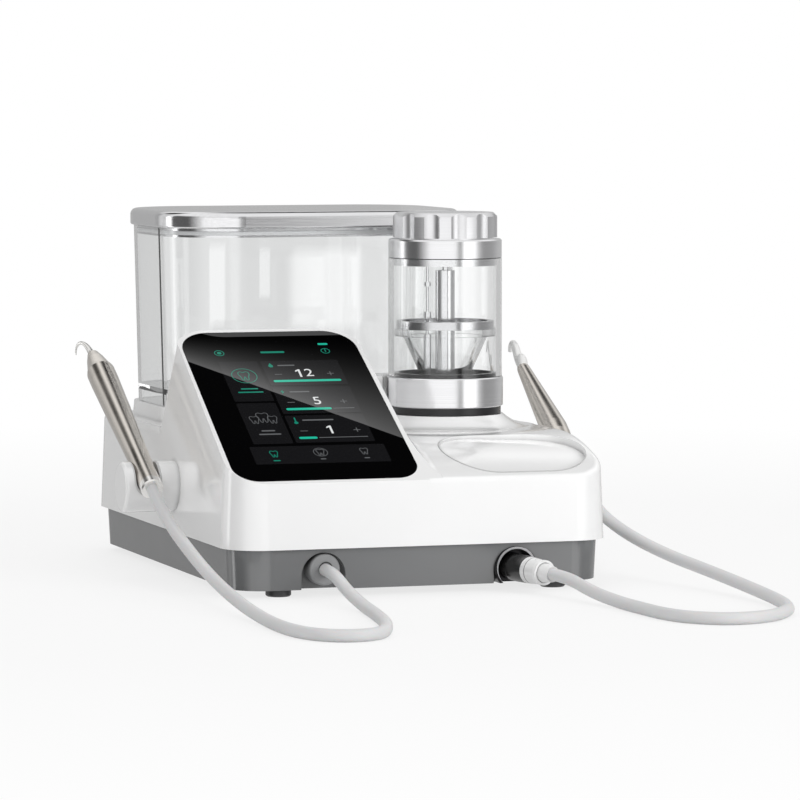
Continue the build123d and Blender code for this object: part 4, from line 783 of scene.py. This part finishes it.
def rounded(x0, x1, s0, s1, radius):
    if radius == 0:
        return [(x0, s0), (x1, s0), (x1, s1), (x0, s1)]
    corners = [(x1 - radius, s0 + radius, -90), (x1 - radius, s1 - radius, 0),
               (x0 + radius, s1 - radius, 90), (x0 + radius, s0 + radius, 180)]
    loop = []
    for cx, cs, first in corners:
        for i in range(CORNER_STEPS + 1):
            turn = math.radians(first + 90 * i / CORNER_STEPS)
            loop.append((cx + radius * math.cos(turn), cs + radius * math.sin(turn)))
    return loop


def offset(points, distance):
    """The closed loop moved outwards by distance, for a loop that runs counter-clockwise."""
    moved = []
    count = len(points)
    for i in range(count):
        along = (Vector(points[(i + 1) % count]) - Vector(points[i - 1])).normalized()
        moved.append((points[i][0] + along.y * distance, points[i][1] - along.x * distance))
    return moved


def smooth(points):
    """A closed smooth loop through the points."""
    loop = []
    count = len(points)
    for i in range(count):
        p0, p1, p2, p3 = (Vector(points[(i + k) % count]) for k in (-1, 0, 1, 2))
        for step in range(CURVE_STEPS):
            t = step / CURVE_STEPS
            spot = 0.5 * (2 * p1 + (p2 - p0) * t + (2 * p0 - 5 * p1 + 4 * p2 - p3) * t * t
                          + (3 * p1 - 3 * p2 + p3 - p0) * t ** 3)
            loop.append(tuple(spot))
    return loop


def placed(points, x, s, size):
    return [(x + px * size, s + ps * size) for px, ps in points]


# A plain tooth, a drop, a bolt and a figure one, counter-clockwise and one unit high
TOOTH = [(-0.10, -0.50), (-0.03, -0.16), (0.03, -0.16), (0.10, -0.50), (0.21, -0.44), (0.27, -0.10),
         (0.36, 0.16), (0.34, 0.38), (0.20, 0.48), (0.0, 0.40), (-0.20, 0.48), (-0.34, 0.38), (-0.36, 0.16),
         (-0.27, -0.10), (-0.21, -0.44)]
DROP = [(0.0, 0.5), (-0.18, 0.16), (-0.32, -0.14), (-0.24, -0.42), (0.0, -0.5), (0.24, -0.42),
        (0.32, -0.14), (0.18, 0.16)]
BOLT = [(0.12, 0.5), (-0.28, -0.06), (-0.04, -0.06), (-0.12, -0.5), (0.28, 0.08), (0.04, 0.08)]
ONE = [(-0.02, -0.5), (0.14, -0.5), (0.14, 0.5), (0.0, 0.5), (-0.24, 0.34), (-0.24, 0.19), (-0.02, 0.32)]

# Screen layout. A bar is left, right, low, high and its corner's radius, a ring x, height, radius and
# width, a disc x, height and radius, and a tooth x, height, size and the width of its line
LEFT_COLUMN = (-87.0, -64.4)
RIGHT_COLUMN = (-62.6, -17.4)
LEFT_ROWS = ((80.6, 121.0), (38.4, 78.8))
RIGHT_ROWS = ((95.8, 121.0), (67.4, 94.0), (38.8, 65.6))
FOOT_BAR = (-90.3, -13.6, 18.8, 35.8)
CARD_CORNER = 0.8
DIM_BARS = [(-22.0, -21.4, 129.4, 132.6), (-60.0, -46.0, 129.1, 130.9, 0.65),
            (-80.6, -70.6, 92.6, 93.8, 0.55), (-83.0, -68.4, 89.2, 90.4, 0.55),
            (-58.0, -57.2, 58.4, 63.6, 0.39), (-80.0, -76.0, 21.6, 22.6, 0.45)]
DIM_RINGS = [(-84.0, 130.0, 2.9, 0.5), (-21.7, 130.4, 2.7, 0.5), (-75.3, 106.4, 7.4, 0.45)]
DIM_DISCS = [(-84.0, 130.0, 1.3), (-57.6, 58.4, 1.2)]
DIM_TEETH = [(-75.3, 106.4, 8.6, 0.45), (-78.0, 28.6, 6.0, 0.45)]
DROP_PLACE = (-57.6, 116.6, 4.2)
BOLT_PLACE = (-57.6, 89.4, 4.4)
QUIET_BARS = [(-79.4, -71.6, 50.6, 51.8, 0.55), (-81.6, -69.0, 47.2, 48.4, 0.55),
              (-53.1, -49.9, 22.2, 23.1, 0.4), (-28.1, -24.9, 22.2, 23.1, 0.4)]
QUIET_RINGS = [(-51.5, 29.2, 4.1, 0.35)]
QUIET_TEETH = [(-80.5, 62.2, 7.2, 0.35), (-70.1, 62.2, 7.2, 0.35), (-75.3, 64.4, 9.4, 0.4),
               (-51.5, 29.2, 6.0, 0.4), (-26.5, 29.2, 6.0, 0.4)]
# In each row of the right column: its label, its figure, its level bar with a thin track beyond the bar's
# end, and the signs for less and more at either side
LABEL_ENDS = ((-53.6, -43.6), (-53.6, -42.0), (-53.6, -35.6))
LABEL_BELOW_TOP = (5.4, 4.2)
LABEL_CORNER = 0.55
FIGURE_HEIGHT = 12.2
FIGURE_SIZE = 7.6
FIGURES = ((-37.2, "2"), (-40.0, "5"))
ONES = ((-43.0, RIGHT_ROWS[0]), (-40.0, RIGHT_ROWS[2]))
LEVEL_HEIGHT = 4.6
LEVEL_START = -59.8
LEVEL_ENDS = (-20.4, -33.6, -49.4)
LEVEL_HALF = 1.05
LEVEL_CORNER = 1.0
TRACK_GAP = 1.0
TRACK_HALF = 0.3
TRACK_CORNER = 0.28
TOP_MARK = (-24.4, -18.6, 136.6, 138.4, 0.6)
SIGN_HEIGHT = 11.4
SIGN_BARS = ((-57.4, -53.2, -0.25, 0.25), (-26.9, -22.9, -0.25, 0.25), (-25.15, -24.65, 0.3, 2.0),
             (-25.15, -24.65, -2.0, -0.3))
TEAL = (0.012, 0.50, 0.335)
TEAL_DIM = tuple(c * 0.45 for c in TEAL)
# Share of the text's size that a figure is high
FIGURE_SHARE = 0.72


def figure(text, x, s, material):
    name = "ui_value_" + text
    curve = bpy.data.curves.new(name, "FONT")
    curve.body = text
    curve.size = FIGURE_SIZE / FIGURE_SHARE * MM
    curve.align_x = "CENTER"
    curve.align_y = "CENTER"
    curve.extrude = PLATE_THICK / 2 * MM
    data = curve_data(name, curve)
    turn = Matrix((Vector((1, 0, 0)), GLASS_UP, GLASS_OUT)).transposed()
    data.transform(Matrix.Translation(on_glass(x, s, LIFT_MARK + PLATE_THICK)) @ turn.to_4x4())
    add_piece(name, data, material, "base")


def screen_picture():
    pale = glowing("ui_pale", (0.78, 0.8, 0.8))

    cards = Picture(LIFT_CARD)
    for column, rows in ((LEFT_COLUMN, LEFT_ROWS), (RIGHT_COLUMN, RIGHT_ROWS)):
        for row in rows:
            cards.bar(*column, *row, CARD_CORNER)
    cards.bar(*FOOT_BAR, CARD_CORNER)
    cards.piece("ui_cards", black_gloss("ui_card", (0.0085, 0.0085, 0.0095), 0.08))

    marks, dim, quiet, ones = (Picture(LIFT_MARK) for _ in range(4))
    marks.bar(*TOP_MARK)
    for index, ((s0, s1), end) in enumerate(zip(RIGHT_ROWS, LEVEL_ENDS)):
        middle = s0 + LEVEL_HEIGHT
        marks.bar(LEVEL_START, end, middle - LEVEL_HALF, middle + LEVEL_HALF, LEVEL_CORNER)
        if index > 0:
            quiet.bar(end + TRACK_GAP, LEVEL_ENDS[0], middle - TRACK_HALF, middle + TRACK_HALF,
                      TRACK_CORNER)
    marks.piece("ui_teal_marks", glowing("ui_teal", TEAL))

    for picture, bars, rings, discs, teeth in ((dim, DIM_BARS, DIM_RINGS, DIM_DISCS, DIM_TEETH),
                                               (quiet, QUIET_BARS, QUIET_RINGS, (), QUIET_TEETH)):
        for shapes, put in ((bars, picture.bar), (rings, picture.ring), (discs, picture.disc),
                            (teeth, picture.tooth)):
            for shape in shapes:
                put(*shape)
    dim.put(placed(smooth(DROP), *DROP_PLACE))
    dim.put(placed(BOLT, *BOLT_PLACE))
    dim.piece("ui_teal_dim_marks", glowing("ui_teal_faint", TEAL_DIM))

    for (s0, s1), ends in zip(RIGHT_ROWS, LABEL_ENDS):
        quiet.bar(*ends, *(s1 - below for below in LABEL_BELOW_TOP), LABEL_CORNER)
        middle = s0 + SIGN_HEIGHT
        for x0, x1, low, high in SIGN_BARS:
            quiet.bar(x0, x1, middle + low, middle + high)
    quiet.piece("ui_grey_marks", glowing("ui_grey", (0.12, 0.125, 0.13)))

    for (x, text), (s0, s1) in zip(FIGURES, RIGHT_ROWS):
        figure(text, x, s0 + FIGURE_HEIGHT, pale)
    for x, (s0, s1) in ONES:
        ones.put(placed(ONE, x, s0 + FIGURE_HEIGHT, FIGURE_SIZE))
    ones.piece("ui_value_ones", pale)


# Small rear and port details. Radii, heights and lengths are in millimetres
RING_SEGMENTS = 48
GLAND_MOUTH_OFFSET = Vector((0.45, 0, 0.4))
GLAND_MOUTH_RADII = (3.42, 4.0)
GLAND_MOUTH_THICK = 0.1


def flat_ring(name, radii, heights, centre, along, material, body, slot):
    """A closed flat ring round the direction along, between two radii and two heights."""
    shape = bmesh.new()
    side = along.orthogonal().normalized()
    other = along.cross(side)
    rows = []
    for radius, height in ((radii[0], heights[0]), (radii[1], heights[0]), (radii[1], heights[1]),
                           (radii[0], heights[1])):
        turns = (2 * math.pi * i / RING_SEGMENTS for i in range(RING_SEGMENTS))
        rows.append([shape.verts.new(centre + (along * height + side * math.cos(turn) * radius
                                               + other * math.sin(turn) * radius) * MM)
                     for turn in turns])
    join_rows(shape, rows + rows[:1])
    bmesh.ops.recalc_face_normals(shape, faces=shape.faces)
    add_piece(name, shape_data(name, shape, True), material, body)


def gland_mouth():
    # The dark ring at the gland's mouth is painted shadow in the gap round the cord
    dark = moulded("gland_shadow", (0.02, 0.02, 0.02), 0.5, 1500.0, 0.00002, 0.03)
    flat_ring("gland_mouth", GLAND_MOUTH_RADII, (0.0, GLAND_MOUTH_THICK),
              (LEFT_START + GLAND_MOUTH_OFFSET) * MM, Vector((0, -1, 0)), dark, "base", "gland_grey")


# Rocker of the power switch: its axle, its rest angle, its face near the axle and at its ends, and the
# line and ring on its two halves
ROCKER_AXLE = Vector((-5.0, 145.0, 51.0)) * MM
ROCKER_REST = math.radians(-8.0)
ROCKER_HINGE_FACE = 2.9
ROCKER_END_FACE = 3.4
ROCKER_END = 7.2
MARK_PLACE = 4.0
MARK_HEIGHTS = (0.01, 0.04)
MARK_RADII = (1.15, 1.5)
MARK_HALF_WIDTH = 0.2
MARK_HALF_LENGTH = 1.5
BOX_FACES = [(0, 1, 3, 2), (4, 6, 7, 5), (0, 4, 5, 1), (2, 3, 7, 6), (0, 2, 6, 4), (1, 5, 7, 3)]


def rocker_spot(side):
    """Middle of a half of the rocker's face and the way it faces: side is 1 above the axle and -1 below."""
    slope = (ROCKER_END_FACE - ROCKER_HINGE_FACE) / ROCKER_END
    turn = Matrix.Rotation(ROCKER_REST, 3, "X")
    spot = Vector((0, ROCKER_HINGE_FACE + slope * MARK_PLACE, side * MARK_PLACE))
    return ROCKER_AXLE + turn @ spot * MM, turn @ Vector((0, 1, -side * slope)).normalized()


def rocker_marks():
    pale = moulded("mark_white", (0.75, 0.75, 0.75), 0.4, 1500.0, 0.00001, 0.02)
    flat_ring("rocker_ring", MARK_RADII, MARK_HEIGHTS, *rocker_spot(-1), pale, "rocker", "inlet_black")
    spot, facing = rocker_spot(1)
    across = Vector((1, 0, 0))
    along = facing.cross(across)
    corners = [spot + (across * x + along * z + facing * y) * MM
               for x in (-MARK_HALF_WIDTH, MARK_HALF_WIDTH) for y in MARK_HEIGHTS
               for z in (-MARK_HALF_LENGTH, MARK_HALF_LENGTH)]
    data = bpy.data.meshes.new("rocker_line")
    data.from_pydata(corners, [], BOX_FACES)
    add_piece("rocker_line", data, pale, "rocker")


# A grey bead of painted shade, for the shaded step at the rim of the bare oval panel in the sloping
# brow, from its upper left round below to its right end: the middle, half length and radius of the
# oval, and the bead's thickness, in millimetres. The turns of the two bends are in degrees
PANEL_CENTRE = (61.7, -117.4)
PANEL_HALF = 14.5
PANEL_RADIUS = 27.3
LEFT_BEND = range(128, 271, 4)
RIGHT_BEND = range(274, 342, 4)
STRAIGHT_STEPS = 12
RIM_THICK = 0.42
RIM_SIDES = 10
RIM_TAPER_STEPS = 8
RIM_END_SHARE = 0.25
ABOVE_BROW = 0.12


def panel_edge_shade():
    path = [(-PANEL_HALF, turn) for turn in LEFT_BEND]
    path += [(-PANEL_HALF + PANEL_HALF * 2 * step / STRAIGHT_STEPS, 270)
             for step in range(1, STRAIGHT_STEPS + 1)]
    path += [(PANEL_HALF, turn) for turn in RIGHT_BEND]
    shape = bmesh.new()
    rows = []
    for index, (shift, turn) in enumerate(path):
        out = Vector((math.cos(math.radians(turn)), math.sin(math.radians(turn)), 0))
        spot = Vector((PANEL_CENTRE[0] + shift, PANEL_CENTRE[1], 0)) + out * PANEL_RADIUS
        start = Vector((spot.x * MM, spot.y * MM, ABOVE_BROW))
        _, place, normal, _ = NODES["upper_housing"].ray_cast(start, Vector((0, 0, -1)))
        from_end = min(index, len(path) - 1 - index) / RIM_TAPER_STEPS
        thick = RIM_THICK * MM * min(1.0, RIM_END_SHARE + from_end)
        side = (out - normal * out.dot(normal)).normalized()
        rows.append([shape.verts.new(place + (side * math.cos(a) + normal * math.sin(a)) * thick)
                     for a in (2 * math.pi * k / RIM_SIDES for k in range(RIM_SIDES))])
    join_rows(shape, rows)
    shape.faces.new(rows[0][::-1])
    shape.faces.new(rows[-1])
    bmesh.ops.recalc_face_normals(shape, faces=shape.faces)
    # The bead's grey is painted shade of the panel's step edge
    white = moulded("panel_edge_shade_grey", (0.5, 0.5, 0.5), 0.3, 1500.0, 0.00001, 0.01)
    add_piece("panel_edge_shade", shape_data("panel_edge_shade", shape, True), white, "base")


# Cords: the same points as the solids, in millimetres
CORD_REST = 3.45
CORD_DIAMETER = 6.8
PLUG_LENGTH = 31.9
LEFT_START = Vector((-56.7, -149.0, 14.9))
RIGHT_START = PLUG_START + PLUG_DIRECTION * PLUG_LENGTH
LEFT_END = SCALER_TAIL / MM
RIGHT_END = POLISH_TAIL / MM
LEFT_ROUTE = [LEFT_START, (-56.7, -164.0, 14.9), (-58.0, -193.0, 8.2), (-58.4, -224.0, CORD_REST),
              (-63.4, -260.0, CORD_REST), (-69.8, -297.5, CORD_REST), (-77.6, -323.0, CORD_REST),
              (-84.4, -338.6, CORD_REST), (-98.0, -347.0, CORD_REST), (-114.0, -342.5, CORD_REST),
              (-122.6, -327.0, CORD_REST), (-126.0, -304.5, CORD_REST), (-125.2, -270.5, CORD_REST),
              (-124.8, -228.0, 5.8), (-125.0, -180.0, 12.0), (-126.2, -136.0, 22.0),
              LEFT_END - hand_axis(SCALER_ANGLE) * 30, LEFT_END]
RIGHT_ROUTE = [RIGHT_START, RIGHT_START + PLUG_DIRECTION * 14, (70.5, -220.0, 6.3),
               (75.6, -248.0, CORD_REST), (77.0, -279.0, CORD_REST), (79.0, -306.0, CORD_REST),
               (86.5, -325.5, CORD_REST), (104.0, -338.6, CORD_REST), (128.6, -331.8, CORD_REST),
               (142.8, -315.5, CORD_REST), (150.2, -303.0, CORD_REST), (158.0, -275.0, 3.7),
               (159.3, -226.0, 6.2), (153.8, -177.0, 10.9), (144.0, -139.5, 16.2), (134.2, -102.5, 24.6),
               RIGHT_END - hand_axis(POLISH_ANGLE) * 26, RIGHT_END]
SPLINE_STEPS = 10
ROUND_STEPS = 8


def route_data(name, route, bevel):
    """The mesh of a smooth spline along the route, a plain line where bevel is 0."""
    curve = bpy.data.curves.new(name, "CURVE")
    curve.dimensions = "3D"
    spline = curve.splines.new("NURBS")
    spline.points.add(len(route) - 1)
    for point, place in zip(spline.points, route):
        point.co = (*(Vector(place) * MM), 1)
    spline.order_u = 3
    spline.use_endpoint_u = True
    spline.resolution_u = SPLINE_STEPS
    curve.bevel_depth = bevel
    curve.bevel_resolution = ROUND_STEPS
    curve.use_fill_caps = bevel > 0
    return curve_data(name, curve)


def make_cord(name, node, route, material):
    path = [tuple(vertex.co) for vertex in route_data(name + "_line", route, 0.0).vertices]
    mesh = route_data(name, route, CORD_DIAMETER / 2 * MM)
    mesh.materials.append(material)
    for polygon in mesh.polygons:
        polygon.use_smooth = len(polygon.vertices) == 4
    piece = add_object(name, mesh)
    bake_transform(piece)
    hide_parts(node)


def make_cords():
    silicone = moulded("cord_silicone", (0.66, 0.66, 0.665), 0.38, 1300.0, 0.00003, 0.02,
                       Subsurface_Weight=0.12, Subsurface_Scale=0.002)
    make_cord("scaler_cord", "left_cord", LEFT_ROUTE, silicone)
    make_cord("polisher_cord", "right_cord", RIGHT_ROUTE, silicone)


def main():
    SCENE.view_settings.view_transform = "Standard"
    make_camera()
    studio_world()
    studio_lamps()
    studio_floor()
    reflection_card()
    windows()
    make_cords()
    dress_frame()
    screen_picture()
    panel_edge_shade()
    gland_mouth()
    rocker_marks()


main()
